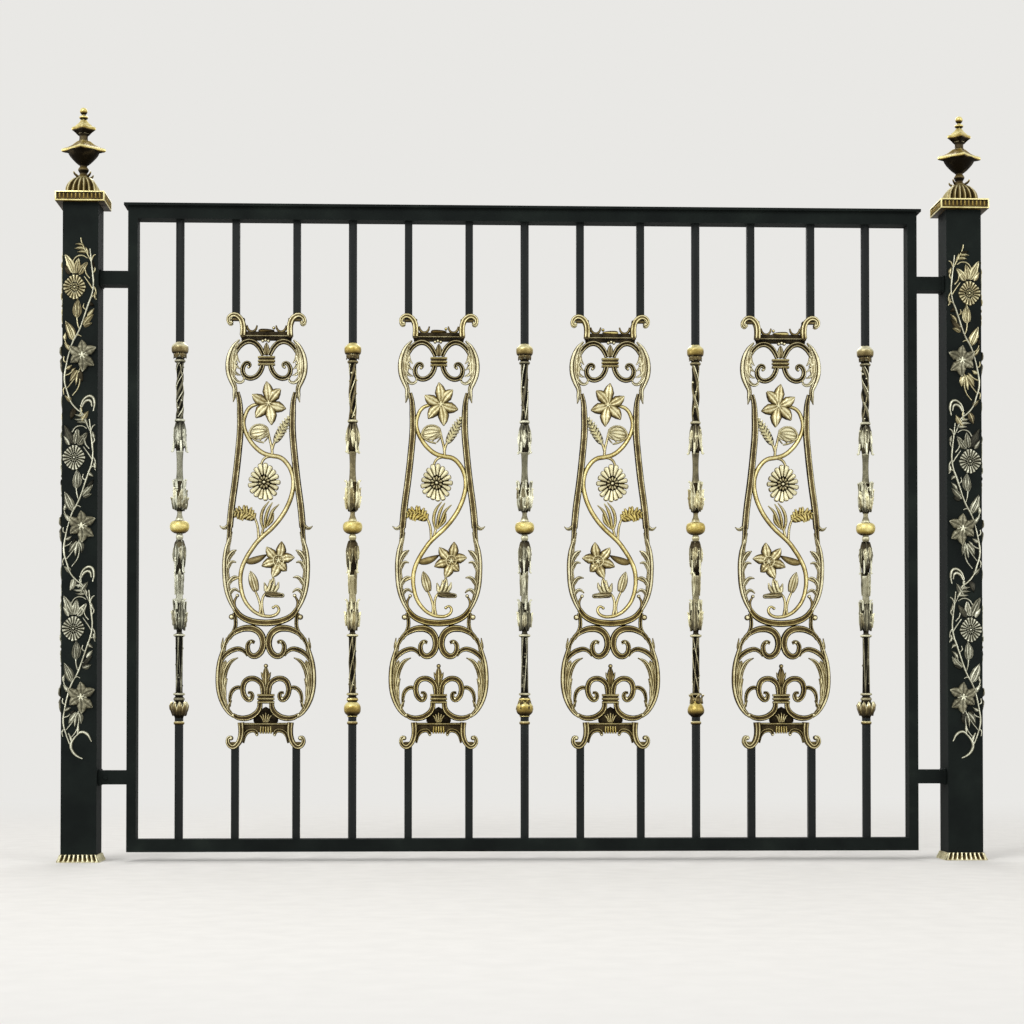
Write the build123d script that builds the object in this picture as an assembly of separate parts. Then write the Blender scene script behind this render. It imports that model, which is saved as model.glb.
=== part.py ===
from build123d import *
import os
from math import cos, sin, radians

# An ornamental window grille that stands on a stone sill: a tube frame hung between
# two square box posts, filled with turned balusters and cast scroll panels.
# Sizes are in millimetres. X runs along the sill, Y from front to back, Z up.
# The origin is the middle of the left post's foot, on the sill.

# Bays
panel_count = 4
bay_pitch = 275
outer_bay_gap = 66
bar_spacing = 97

# Tube frame
stile_width = 15
rail_height = 20
frame_depth = 30
frame_wall = 2
frame_height = 1026
sill_gap = 15
strip_thickness = 4
strip_overhang = 6

# Posts and the brackets that carry the frame
post_width = 56
post_wall = 3
post_height = 1043
foot_plate = 6
post_gap = 45
bracket_height = 22
lower_bracket_level = 133
upper_bracket_level = 926

# Collar round the foot of a post
collar_width = 68
collar_top_width = 61
collar_rim = 4
collar_height = 12
collar_clearance = 0.3

# Cap plate of a post
cap_width = 78
cap_height = 16
cap_border = 4
cap_recess = 1.5

# Finial on the cap: a square dome under three stacked roofs and a ball
dome_width = 50
dome_base_height = 10
dome_side_height = 17
dome_shoulder_width = 32
dome_top_height = 7
neck_width = 15
neck_height = 16
bowl_height = 21
roof_width = 49
roof_edge = 5
roof_top_width = 21
roof_height = 10
middle_neck_width = 14.5
middle_neck_height = 12
middle_bowl_height = 9
middle_roof_width = 27
middle_roof_edge = 6
small_roof_width = 17
small_roof_top_width = 7
small_roof_height = 9
disc_width = 14
disc_height = 3.5
stalk_width = 6
stalk_height = 2
ball_width = 11
ball_height = 11
ball_tip_width = 4

# Vine casting on the faces of a post
vine_thickness = 3.5
vine_stem_width = 4
vine_spacing = 270
vine_repeats = 3
vine_first_flower = 908
sunflower_radius = 18
star_flower_radius = 20

# Turned balusters
bar_diameter = 13
casting_foot = 255
casting_top = 807
collar_ball_radius = 13.5
collar_neck_radius = 8.5
upper_ball_height = 16
lower_ball_height = 24
shaft_radius = 7.5
throat_radius = 6.5
ring_radius = 9.2
bulge_radius = 11.2
knop_radius = 15

# Cast scroll panels
panel_bar = 12
panel_foot = 177
panel_height = 695
panel_depth = 9
flower_depth = 13
clasp_depth = 18
clasp_clearance = 0.3
seat_rim = 1.5
seat_height = 4

# How closely straight runs follow a curve
sharpest_turn = 80
flatness = 2.5
round_sides = 8

# Sizes that follow from those above
frame_length = panel_count * bay_pitch + 2 * outer_bay_gap + 2 * stile_width
frame_left = post_width / 2 + post_gap
frame_right = frame_left + frame_length
middle = frame_left + frame_length / 2
right_post_x = 2 * middle
frame_top = sill_gap + frame_height
rail_top = sill_gap + rail_height
top_rail_foot = frame_top - rail_height

# The drawings have grids of their own. A panel's is 97 steps from bar to bar and 695 steps
# high, a vine's is 56 steps across the post and 270 from one sunflower to the next, and a
# baluster casting's is 552 steps high.
panel_step_across = bar_spacing / 97
panel_step_up = panel_height / 695
vine_step_across = post_width / 56
vine_step_up = vine_spacing / 270
casting_step = (casting_top - casting_foot) / 552

# The upper bars stand in the horns at step 688, and the lower ones reach into the feet to step 8
upper_seat = 688 * panel_step_up
lower_seat = 8 * panel_step_up


def block(width, depth, height, x=0, y=0, z=0):
    """A block that stands on height z, centred on x and y."""
    return Pos(x, y, z + height / 2) * Box(width, depth, height)


def tube(width, depth, height, wall):
    """An open box tube that stands on the origin."""
    return block(width, depth, height) - block(width - 2 * wall, depth - 2 * wall, height)


def faceted(profile, sides=round_sides, turn=0):
    """A casting with the same profile on each of its flat sides: where slabs that have that
    outline cross. The profile gives the half width at each height."""
    reach = 2 * max(half for half, z in profile)
    outline = profile + [(-half, z) for half, z in reversed(profile)]
    slab = extrude(Plane.XZ * make_face(Polyline(*outline, close=True)), reach, both=True)
    solid = slab
    for number in range(1, sides // 2):
        solid &= Rot(0, 0, number * 360 / sides) * slab
    return Rot(0, 0, turn) * solid


# Posts

def post():
    """A box tube closed at its foot by the plate that is fixed to the sill."""
    body = tube(post_width, post_width, post_height, post_wall)
    inside = post_width - 2 * post_wall
    return body + block(inside, inside, foot_plate)


def post_collar():
    """The cast skirt round a post's foot."""
    half = collar_width / 2
    skirt = faceted([(half, 0), (half, collar_rim), (collar_top_width / 2, collar_height)], 4)
    hole = post_width + 2 * collar_clearance
    return skirt - block(hole, hole, collar_height)


def post_cap():
    """The square plate on a post, with a sunk panel on each edge."""
    plate = block(cap_width, cap_width, cap_height, z=post_height)
    panel = cap_width - 2 * cap_border
    for side in range(4):
        sunk = block(panel, 2 * cap_recess, cap_height - cap_border, y=-cap_width / 2)
        plate -= Rot(0, 0, 90 * side) * Pos(0, 0, post_height + cap_border / 2) * sunk
    return plate


def finial():
    """Dome, neck and three roofs turned by 45 degrees, with a disc and a ball on top."""
    dome = [(dome_width, 0), (dome_width, dome_base_height)]
    dome += [(dome_shoulder_width, dome_side_height), (neck_width, dome_top_height)]
    dome.append((neck_width, neck_height))
    roofs = [(neck_width, 0), (roof_width, bowl_height), (roof_width, roof_edge)]
    roofs += [(roof_top_width, roof_height), (middle_neck_width, 1)]
    roofs += [(middle_neck_width, middle_neck_height), (middle_roof_width, middle_bowl_height)]
    roofs += [(middle_roof_width, middle_roof_edge), (small_roof_width, 1)]
    roofs.append((small_roof_top_width, small_roof_height))
    tip = [(disc_width, 0), (disc_width, disc_height), (stalk_width, 1), (stalk_width, stalk_height)]
    tip += [(ball_width, ball_height / 3), (ball_width, ball_height / 3)]
    tip.append((ball_tip_width, ball_height / 3))
    level = post_height + cap_height
    solid = Part()
    for rises, sides, turn in [(dome, 4, 0), (roofs, 4, 45), (tip, round_sides, 0)]:
        profile = []
        for width, rise in rises:
            level += rise
            profile.append((width / 2, level))
        solid += faceted(profile, sides, turn)
    return solid


# Outlines drawn on a face: bands along a smooth line, leaves and flowers

def line_points(points):
    """Points along a smooth line, close enough for straight runs to follow its bends."""
    if len(points) == 2:
        return [Vector(*points[0]), Vector(*points[1])]
    line = Spline(*points)
    fine = 12 * len(points)
    kept = [line @ 0]
    bend = 0
    before = line % 0
    for step in range(1, fine + 1):
        here = line @ (step / fine)
        along = line % (step / fine)
        bend += before.get_angle(along)
        before = along
        sag = (here - kept[-1]).length * radians(bend) / 8
        if bend > sharpest_turn or sag > flatness or step == fine:
            kept.append(here)
            bend = 0
    return kept


def band(points, width, tip_width=None):
    """A flat strip along a smooth line, which may narrow towards its end."""
    tip_width = width if tip_width is None else tip_width
    line = line_points(points)
    left = []
    right = []
    for number, point in enumerate(line):
        ahead = line[min(number + 1, len(line) - 1)]
        behind = line[max(number - 1, 0)]
        across = (ahead - behind).normalized().rotate(Axis.Z, 90)
        half = (width + (tip_width - width) * number / (len(line) - 1)) / 2
        left.append(point + across * half)
        right.append(point - across * half)
    return make_face(Polyline(*left, *reversed(right), close=True))


def leaf(base, tip, width):
    """A pointed leaf from its base to its tip."""
    foot = Vector(*base)
    along = Vector(*tip) - foot
    across = along.normalized().rotate(Axis.Z, 90) * (width / 2)
    shoulder = foot + along * 0.4
    return make_face(Polyline(foot, shoulder + across, foot + along, shoulder - across, close=True))


def rosette(x, y, radius, inner_radius, petals):
    """A flower seen from the front, with pointed petals round a disc."""
    outline = []
    for number in range(2 * petals):
        reach = radius if number % 2 == 0 else inner_radius
        angle = radians(90 + number * 180 / petals)
        outline.append((x + reach * cos(angle), y + reach * sin(angle)))
    return make_face(Polyline(*outline, close=True))


def both_sides(faces):
    """The faces and their mirror images about the middle line."""
    return faces + [mirror(face, about=Plane.YZ) for face in faces]


def joined(faces):
    """All the faces as one sheet."""
    return Sketch() + faces


# Cast scroll panel, drawn in the steps of its own grid

def on_panel(points):
    """Points of the panel's drawing at their real places."""
    return [(x * panel_step_across, y * panel_step_up) for x, y in points]


def drawn(points, width, tip_width=None):
    """A band of the panel's drawing."""
    tip_width = width if tip_width is None else tip_width
    return band(on_panel(points), width * panel_step_across, tip_width * panel_step_across)


def drawn_leaf(base, tip, width):
    """A leaf of the panel's drawing."""
    return leaf(*on_panel([base, tip]), width * panel_step_across)


def drawn_bar(reach, low, high):
    """A level bar of the panel's drawing, across the middle line."""
    corners = [(-reach, low), (reach, low), (reach, high), (-reach, high)]
    return make_face(Polyline(*on_panel(corners), close=True))


def panel_border():
    """The symmetric border: a long outline from the lobe to the belly, and a lower oval."""
    outline = [(50, 648), (57, 626), (55, 586), (46, 548), (46, 480), (61, 352), (66, 290)]
    outline += [(62, 248), (45, 217), (-8, 201)]
    neck = [(46, 222), (47, 198), (64, 170)]
    oval = [(66, 178), (71, 118), (68, 88), (52, 58)]
    thorn = drawn_leaf((54, 352), (73, 357), 8)
    return both_sides([drawn(outline, 9), drawn(neck, 6), drawn(oval, 14, 10), thorn])


def panel_leaves():
    """Leaf teeth on the inside of the border."""
    teeth = [((58, 630), (42, 600)), ((66, 308), (46, 332)), ((66, 262), (44, 282))]
    teeth.append(((68, 100), (52, 116)))
    return both_sides([drawn_leaf(base, tip, 14) for base, tip in teeth])


def panel_scrolls():
    """The paired scrolls of the head, the waist and the foot."""
    head_ring = [(7, 628), (25, 652), (46, 634)]
    head_curl = [(6, 614), (20, 592), (37, 606), (28, 618)]
    waist = [(62, 150), (44, 186), (22, 195), (5, 172), (17, 150), (30, 163)]
    spiral = [(6, 84), (24, 111), (37, 95), (27, 83)]
    link = [(36, 94), (54, 96), (58, 62)]
    foot_scroll = [(4, 78), (26, 50), (50, 56)]
    faces = [drawn(head_ring, 6), drawn(head_curl, 8, 5), drawn(waist, 7, 5)]
    faces += [drawn(spiral, 6, 4), drawn(link, 5), drawn(foot_scroll, 6)]
    return both_sides(faces)


def panel_centre():
    """The clamps, bars, bud and lily point on the middle line."""
    faces = [drawn_bar(42, 653, 663), drawn_bar(36, 660, 674), drawn_bar(44, 40, 47)]
    faces += [drawn_bar(13.5, 612, 630), drawn_bar(14, 73, 85), drawn_bar(4, 626, 660)]
    faces += [drawn_leaf((0, 82), (0, 134), 16), drawn_leaf((0, 44), (0, 80), 10)]
    return faces


def panel_vine():
    """The S-shaped vine with its buds and leaves, which fills the border."""
    stem = [(0, 556), (-35, 530), (-27, 495), (-4, 472), (22, 465), (41, 440), (41, 408)]
    stem += [(10, 354), (-14, 331), (-39, 288), (-40, 257), (-14, 217), (13, 215), (14, 228)]
    faces = [drawn(stem, 6, 4)]
    faces.append(drawn([(10, 468), (-5, 459), (-8, 440)], 4))
    faces.append(drawn([(10, 468), (3, 501)], 4))
    faces.append(drawn_leaf((7, 482), (40, 530), 20))
    faces.append(drawn_leaf((5, 498), (-28, 508), 22))
    faces.append(drawn([(-14, 331), (-16, 368)], 4))
    faces.append(drawn_leaf((-14, 362), (-48, 386), 24))
    faces.append(drawn_leaf((-9, 336), (9, 404), 20))
    faces.append(drawn([(-31, 304), (8, 311)], 4))
    faces.append(drawn_leaf((-12, 216), (-31, 283), 18))
    faces.append(drawn_leaf((-4, 214), (14, 272), 26))
    faces.append(drawn([(-39, 275), (-52, 270)], 4))
    return faces


def panel_flowers():
    """The two lilies and the sunflower, which stand proud of the vine."""
    flowers = []
    for place, radius, inner_radius, petals in [
        ((1, 554), 30, 13, 6),
        ((-3, 426), 27, 20, 9),
        ((18, 302), 27, 12, 6),
    ]:
        [(x, y)] = on_panel([place])
        size = panel_step_across
        flowers.append(rosette(x, y, radius * size, inner_radius * size, petals))
    return flowers


def panel_hooks():
    """Small curls between the horns and between the feet."""
    hook = [(38, 674), (26, 668), (13, 679)]
    toe = [(38, 24), (17, 31)]
    return both_sides([drawn(hook, 4), drawn(toe, 4)])


def panel_clasps():
    """The horns above and the feet below, which hold the ends of the bars."""
    horn = [(37, 660), (43, 690), (60, 684)]
    foot = [(40, 43), (44, 5), (58, 18)]
    return both_sides([drawn(horn, 6, 5), drawn(foot, 6, 5)])


def panel_seats():
    """The small shoulders in the horns and in the feet, which the bars' ends meet."""
    across = bar_spacing / 2
    half = panel_bar / 2 + seat_rim
    seats = []
    for foot, head in [(upper_seat - seat_height, upper_seat), (lower_seat, lower_seat + seat_height)]:
        corners = [(across - half, foot), (across + half, foot)]
        corners += [(across + half, head), (across - half, head)]
        seats.append(make_face(Polyline(*corners, close=True)))
    return both_sides(seats)


def panel_bars_at(x):
    """The four square bars of one panel."""
    bars = []
    lower_head = panel_foot + lower_seat
    upper_foot = panel_foot + upper_seat
    for side in (-1, 1):
        across = x + side * bar_spacing / 2
        bars.append(block(panel_bar, panel_bar, lower_head - rail_top, across, 0, rail_top))
        bars.append(block(panel_bar, panel_bar, top_rail_foot - upper_foot, across, 0, upper_foot))
    return bars


def scroll_panel():
    """One cast panel that stands on the origin, the same on its front and its back."""
    faces = panel_border() + panel_leaves() + panel_scrolls() + panel_centre()
    faces += panel_vine() + panel_hooks() + panel_seats()
    casting = extrude(Plane.XZ * joined(faces), panel_depth / 2, both=True)
    casting += extrude(Plane.XZ * joined(panel_flowers()), flower_depth / 2, both=True)
    casting += extrude(Plane.XZ * joined(panel_clasps()), clasp_depth / 2, both=True)
    gap = panel_bar + 2 * clasp_clearance
    for side in (-1, 1):
        x = side * bar_spacing / 2
        casting -= block(gap, gap, panel_height, x, 0, upper_seat)
        casting -= block(gap, gap, panel_height, x, 0, lower_seat - panel_height)
    return casting


# Balusters

def baluster_casting():
    """The long casting: shaft, leaf bulges, vases and the knop, from foot to top."""
    profile = [(ring_radius, 0), (shaft_radius, 8), (shaft_radius, 99), (ring_radius, 104)]
    profile += [(throat_radius, 111), (bulge_radius, 137), (bulge_radius, 150)]
    profile += [(throat_radius, 163), (throat_radius, 197), (bulge_radius, 243)]
    profile += [(throat_radius, 258), (knop_radius, 272), (knop_radius, 281)]
    profile += [(throat_radius, 294), (bulge_radius, 340), (throat_radius, 353)]
    profile += [(throat_radius, 394), (bulge_radius, 413), (bulge_radius, 429)]
    profile += [(throat_radius, 442), (ring_radius, 446), (shaft_radius, 452)]
    profile += [(shaft_radius, 539), (ring_radius, 544), (ring_radius, 552)]
    return faceted([(half, casting_foot + height * casting_step) for half, height in profile])


def ball_collar(foot, height):
    """A ball collar between a bar and a casting, with its foot at the given level."""
    profile = [(collar_neck_radius, foot), (collar_ball_radius, foot + height * 0.35)]
    profile += [(collar_ball_radius, foot + height * 0.65), (collar_neck_radius, foot + height)]
    return faceted(profile)


def baluster_bars_at(x):
    """The round bars below and above a baluster's casting and its collars."""
    bars = []
    lower_head = casting_foot - lower_ball_height
    upper_foot = casting_top + upper_ball_height
    for foot, head in [(rail_top, lower_head), (upper_foot, top_rail_foot)]:
        bars.append(Pos(x, 0, 0) * faceted([(bar_diameter / 2, foot), (bar_diameter / 2, head)]))
    return bars


# Vine casting on a post, drawn in the steps of its own grid

def on_vine(points):
    """Points of the vine's drawing at their real places."""
    return [(x * vine_step_across, y * vine_step_up) for x, y in points]


def vine_flower(level, x, y, radius, inner_radius, petals):
    """A flower of the vine, placed from the level of its sunflower."""
    [(across, up)] = on_vine([(x, y)])
    return rosette(across, level + up, radius, inner_radius, petals)


def vine_sheet():
    """The vine of a whole post face, centred on the face and standing on the sill."""
    stem = [(6, 78), (17, 62)]
    faces = []
    for number in range(vine_repeats):
        level = vine_first_flower - number * vine_spacing
        drop = number * 270
        for x, y in [(21, 10), (7, -50), (-17, -104), (-20, -144), (12, -205)]:
            stem.append((x, y - drop))
        faces.append(vine_flower(level, -7, 0, sunflower_radius, sunflower_radius * 0.92, 4))
        faces.append(vine_flower(level, 1, -118, star_flower_radius, star_flower_radius * 0.5, 5))
        for base, tip in [((23, 17), (-19, 46)), ((-8, -168), (22, -160))]:
            faces.append(Pos(0, level) * leaf(*on_vine([base, tip]), 14))
        link = band(on_vine([(20, -4), (4, -4)]), vine_stem_width)
        faces.append(Pos(0, level) * link)
    stem.append((6, -746))
    faces.append(Pos(0, vine_first_flower) * band(on_vine(stem), vine_stem_width))
    return joined(faces)


def vine_on(post_x, direction, flip):
    """The vine laid on one face of a post; the direction is the way the face looks."""
    x, y = direction
    outline = mirror(vine_sheet(), about=Plane.YZ) if flip else vine_sheet()
    centre = (post_x + x * post_width / 2, y * post_width / 2, 0)
    face = Plane(origin=centre, x_dir=(-y, x, 0), z_dir=(x, y, 0))
    return extrude(face * outline, vine_thickness)


# Frame

def rail(level):
    """A level tube between the stiles, with its lower face at the given height."""
    length = frame_length - 2 * stile_width
    body = Rot(0, 90, 0) * tube(rail_height, frame_depth, length, frame_wall)
    return Pos(frame_left + stile_width, 0, level + rail_height / 2) * body


def stile(x):
    """An upright tube at the end of the frame, closed at its foot."""
    body = tube(stile_width, frame_depth, frame_height, frame_wall)
    body += block(stile_width, frame_depth, frame_wall)
    return Pos(x, 0, sill_gap) * body


def brackets(x):
    """The two short tubes that carry one end of the frame on a post."""
    pieces = []
    for level in (lower_bracket_level, upper_bracket_level):
        body = Rot(0, 90, 0) * tube(bracket_height, frame_depth, post_gap, frame_wall)
        pieces.append(Pos(x, 0, level) * body)
    return pieces


def grille():
    """Every node of the part by name, each a list of its solids."""
    nodes = {}
    for side, x, outward in [("left", 0, -1), ("right", right_post_x, 1)]:
        flip = side == "right"
        nodes[f"{side}_post"] = [Pos(x, 0, 0) * post()]
        nodes[f"{side}_post_collar"] = [Pos(x, 0, 0) * post_collar()]
        nodes[f"{side}_post_cap"] = [Pos(x, 0, 0) * post_cap()]
        nodes[f"{side}_finial"] = [Pos(x, 0, 0) * finial()]
        nodes[f"{side}_vine_front"] = [vine_on(x, (0, -1), flip)]
        nodes[f"{side}_vine_outer"] = [vine_on(x, (outward, 0), flip)]
        nodes[f"{side}_vine_back"] = [vine_on(x, (0, 1), flip)]
    nodes["left_brackets"] = brackets(post_width / 2)
    nodes["right_brackets"] = brackets(frame_right)
    nodes["left_stile"] = [stile(frame_left + stile_width / 2)]
    nodes["right_stile"] = [stile(frame_right - stile_width / 2)]
    nodes["bottom_rail"] = [rail(sill_gap)]
    nodes["top_rail"] = [rail(top_rail_foot)]
    strip_length = frame_length + 2 * strip_overhang
    strip_depth = frame_depth + 2 * strip_overhang
    strip = block(strip_length, strip_depth, strip_thickness, middle, 0, frame_top)
    nodes["top_strip"] = [strip]

    upper_collars = []
    lower_collars = []
    casting = baluster_casting()
    upper_collar = ball_collar(casting_top, upper_ball_height)
    lower_collar = ball_collar(casting_foot - lower_ball_height, lower_ball_height)
    for number in range(panel_count + 1):
        x = middle + (number - panel_count / 2) * bay_pitch
        nodes[f"baluster_{number + 1}_casting"] = [Pos(x, 0, 0) * casting]
        nodes[f"baluster_{number + 1}_bars"] = baluster_bars_at(x)
        upper_collars.append(Pos(x, 0, 0) * upper_collar)
        lower_collars.append(Pos(x, 0, 0) * lower_collar)
    nodes["upper_collars"] = upper_collars
    nodes["lower_collars"] = lower_collars

    panel = scroll_panel()
    turned_panel = mirror(panel, about=Plane.YZ)
    for number in range(panel_count):
        x = middle + (number - (panel_count - 1) / 2) * bay_pitch
        shape = panel if number < panel_count / 2 else turned_panel
        nodes[f"scroll_panel_{number + 1}"] = [Pos(x, 0, panel_foot) * shape]
        nodes[f"panel_bars_{number + 1}"] = panel_bars_at(x)
    return nodes


os.makedirs("parts", exist_ok=True)
for name, pieces in grille().items():
    solids = [solid for piece in pieces for solid in piece.solids()]
    export_step(Compound(solids), f"parts/{name}.step")
    print(name, len(solids), "solids")
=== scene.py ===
import bpy
import bmesh
import math
import random
import numpy as np
from mathutils import Matrix, Vector


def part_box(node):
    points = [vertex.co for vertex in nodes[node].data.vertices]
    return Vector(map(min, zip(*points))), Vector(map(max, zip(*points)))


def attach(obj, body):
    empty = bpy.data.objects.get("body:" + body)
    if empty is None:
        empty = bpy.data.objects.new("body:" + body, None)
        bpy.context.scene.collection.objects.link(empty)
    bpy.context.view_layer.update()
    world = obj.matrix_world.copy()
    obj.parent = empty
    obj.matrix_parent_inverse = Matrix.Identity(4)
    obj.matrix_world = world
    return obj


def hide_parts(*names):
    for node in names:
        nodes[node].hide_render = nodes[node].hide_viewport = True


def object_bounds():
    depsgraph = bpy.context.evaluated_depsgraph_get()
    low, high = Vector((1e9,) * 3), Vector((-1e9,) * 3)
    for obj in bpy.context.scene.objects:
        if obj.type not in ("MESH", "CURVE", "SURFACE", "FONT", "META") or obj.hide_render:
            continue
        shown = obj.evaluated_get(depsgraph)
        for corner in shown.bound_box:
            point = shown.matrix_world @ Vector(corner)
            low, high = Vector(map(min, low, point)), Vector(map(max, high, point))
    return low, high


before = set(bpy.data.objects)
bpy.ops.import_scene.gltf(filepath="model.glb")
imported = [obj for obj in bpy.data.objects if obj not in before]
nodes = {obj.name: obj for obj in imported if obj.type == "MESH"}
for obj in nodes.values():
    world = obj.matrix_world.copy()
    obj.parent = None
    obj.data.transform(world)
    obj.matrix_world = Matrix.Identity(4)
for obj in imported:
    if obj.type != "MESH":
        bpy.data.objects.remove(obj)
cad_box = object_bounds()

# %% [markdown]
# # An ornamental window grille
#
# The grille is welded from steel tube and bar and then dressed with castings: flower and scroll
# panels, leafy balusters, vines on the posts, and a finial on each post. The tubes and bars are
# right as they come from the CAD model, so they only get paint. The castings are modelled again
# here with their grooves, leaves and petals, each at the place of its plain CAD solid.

scene = bpy.context.scene
MM = 0.001
random.seed(11)


def middle_of(node):
    """The middle of a CAD node's box and its lowest and highest level, in millimetres."""
    low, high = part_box(node)
    centre = (low + high) / 2 / MM
    return centre.x, centre.y, low.z / MM, high.z / MM


def half_width(node):
    """Half the width of a CAD node's box, in millimetres."""
    low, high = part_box(node)
    return (high.x - low.x) / 2 / MM


def placed(name, data):
    """A new object of the scene, at the origin, for a mesh, curve, lamp or camera."""
    thing = bpy.data.objects.new(name, data)
    scene.collection.objects.link(thing)
    return thing


print(len(nodes), "nodes in the frame")

# %% [markdown]
# ## Colours and nodes
#
# A colour is written as a hex value, as a paint maker gives it, and one function turns it to the
# linear values that the shader works in. A second small function adds a node, sets its values and
# links its inputs. A few helpers on top of it add the nodes that every material needs: a colour
# ramp, a noise of a real size, a sum, a new range and a bump.

# %% Colour and node helpers
def linear(hex_colour):
    """The linear colour for an sRGB hex value."""
    parts = [int(hex_colour[i:i + 2], 16) / 255 for i in (1, 3, 5)]
    return (*[c / 12.92 if c <= 0.04045 else ((c + 0.055) / 1.055) ** 2.4 for c in parts], 1)


def add_node(tree, kind, settings=None, links=None):
    """A shader node with its settings and the sockets that feed its inputs."""
    node = tree.nodes.new("ShaderNode" + kind)
    for name, value in (settings or {}).items():
        if isinstance(name, int) or name in node.inputs:
            node.inputs[name].default_value = value
        else:
            setattr(node, name, value)
    for name, socket in (links or {}).items():
        tree.links.new(socket, node.inputs[name])
    return node


def new_material(name):
    """An empty node material, its tree and the place in the object's own coordinates."""
    material = bpy.data.materials.new(name)
    material.use_nodes = True
    tree = material.node_tree
    tree.nodes.clear()
    return material, tree, add_node(tree, "TexCoord").outputs["Object"]


def ramp(tree, factor, places, colours):
    """A colour ramp through hex colours at the given places."""
    node = add_node(tree, "ValToRGB", links={"Fac": factor})
    band = node.color_ramp
    while len(band.elements) < len(places):
        band.elements.new(0.5)
    for element, place, colour in zip(band.elements, places, colours):
        element.position = place
        element.color = linear(colour)
    return node.outputs["Color"]


def noise(tree, place, size, detail):
    """Noise with features of about that size in millimetres."""
    node = add_node(tree, "TexNoise", {"Scale": 1 / (size * MM), "Detail": detail}, {"Vector": place})
    return node.outputs["Fac"]


def ranged(tree, value, low, high):
    """A value from 0 to 1 stretched to run from low to high."""
    return add_node(tree, "MapRange", {3: low, 4: high}, {"Value": value}).outputs[0]


def maths(tree, operation, first, second):
    """A sum, product or maximum of two sockets."""
    return add_node(tree, "Math", {"operation": operation}, {0: first, 1: second}).outputs[0]


def bumps(tree, height, strength, depth):
    """A normal that follows a height, with its depth in millimetres."""
    node = add_node(tree, "Bump", {"Strength": strength, "Distance": depth * MM}, {"Height": height})
    return node.outputs["Normal"]


# %% [markdown]
# ## Black paint on welded steel
#
# Posts, rails, bars and brackets are mild steel tube with a brushed coat of satin black enamel. The
# eye gets a soft broad sheen, slight waviness of the coat, and dust that dulls it in faint patches.
# The thin bars keep more of their sheen than the weathered tubes, and so show a light line. The
# paint isn't a metal to the shader: it is a dark coat with an IOR of 1.5.

# %% Black enamel
DUST_PLACES = (0.35, 0.6, 0.8)


def black_enamel(name, colours, roughness, sheen):
    """Black enamel with its colours, lowest roughness and amount of mirror reflection."""
    material, tree, place = new_material(name)
    dust = noise(tree, place, size=60, detail=6)
    grain = noise(tree, place, size=2.5, detail=3)
    shader = add_node(tree, "BsdfPrincipled", {"IOR": 1.5, "Specular IOR Level": sheen}, {
        "Base Color": ramp(tree, dust, DUST_PLACES, colours),
        "Roughness": ranged(tree, dust, roughness, roughness + 0.2),
        "Normal": bumps(tree, grain, strength=0.15, depth=0.4)})
    add_node(tree, "OutputMaterial", links={"Surface": shader.outputs["BSDF"]})
    return material


SATIN_BLACKS = ["#0b0f0f", "#0f1413", "#171d1b"]
DULL_BLACKS = ["#101413", "#171c1a", "#212723"]
satin_enamel = black_enamel("satin_black_enamel_on_steel_bar", SATIN_BLACKS, 0.4, 0.2)
dull_enamel = black_enamel("weathered_black_enamel_on_steel_tube", DULL_BLACKS, 0.62, 0.06)
print("made", satin_enamel.name, "and", dull_enamel.name)

# %% [markdown]
# ## Cast metal, darkened and dry-brushed
#
# The castings are painted dark all over, and then a nearly dry brush of pale brass or pewter is
# drawn across them, so that only edges and high places take the light paint. Each vertex carries
# two numbers: "relief_and_shade" says how much it stands out of its surroundings, with painted
# shade taken off where it faces down or to the side, and "gold" says how warm the brushed paint is
# there. The ramps turn that into paint from dark to bright, and two noises break the brush strokes
# up. Bright places also shine more, as rubbed paint does.

# %% Dry-brushed castings
RELIEF_PLACES = (0.02, 0.27, 0.55, 0.76, 0.97)
GILT = ["#110b03", "#41320f", "#7a6528", "#ad9748", "#e6d990"]
BRASS = ["#100c06", "#3c321c", "#685b38", "#988c64", "#dfdab8"]
PEWTER = ["#0c0c09", "#32322a", "#5f5f4f", "#929280", "#d2d3c0"]


def brushed_cast(name, pale, roughness=0.4, speckle=0.2):
    """A casting whose brushed paint goes from the pale colours to gilt, recess first."""
    material, tree, place = new_material(name)
    relief_and_shade = add_node(tree, "Attribute", {"attribute_name": "relief_and_shade"}).outputs["Fac"]
    gold = add_node(tree, "Attribute", {"attribute_name": "gold"}).outputs["Fac"]
    patch = noise(tree, place, size=14, detail=5)
    grain = noise(tree, place, size=1.6, detail=3)
    uneven = maths(tree, "ADD", relief_and_shade, ranged(tree, patch, -0.3, 0.3))
    level = maths(tree, "ADD", uneven, ranged(tree, grain, -speckle, speckle))
    colour = add_node(tree, "Mix", {"data_type": "RGBA"}, {
        0: gold, 6: ramp(tree, level, RELIEF_PLACES, pale), 7: ramp(tree, level, RELIEF_PLACES, GILT)})
    shader = add_node(tree, "BsdfPrincipled", None, {
        "Base Color": colour.outputs[2],
        "Metallic": ranged(tree, level, 0, 0.5),
        "Roughness": ranged(tree, level, roughness + 0.25, roughness),
        "Specular IOR Level": ranged(tree, level, 0.03, 0.5),
        "Normal": bumps(tree, grain, strength=0.35, depth=0.5)})
    add_node(tree, "OutputMaterial", links={"Surface": shader.outputs["BSDF"]})
    return material


bronze = brushed_cast("cast_iron_dry_brushed_with_brass", BRASS)
gilding = brushed_cast("cast_iron_gilded_and_antiqued", BRASS, 0.3, 0.08)
pewter = brushed_cast("cast_iron_dry_brushed_with_pewter", PEWTER)
print("made three cast finishes")
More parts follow.
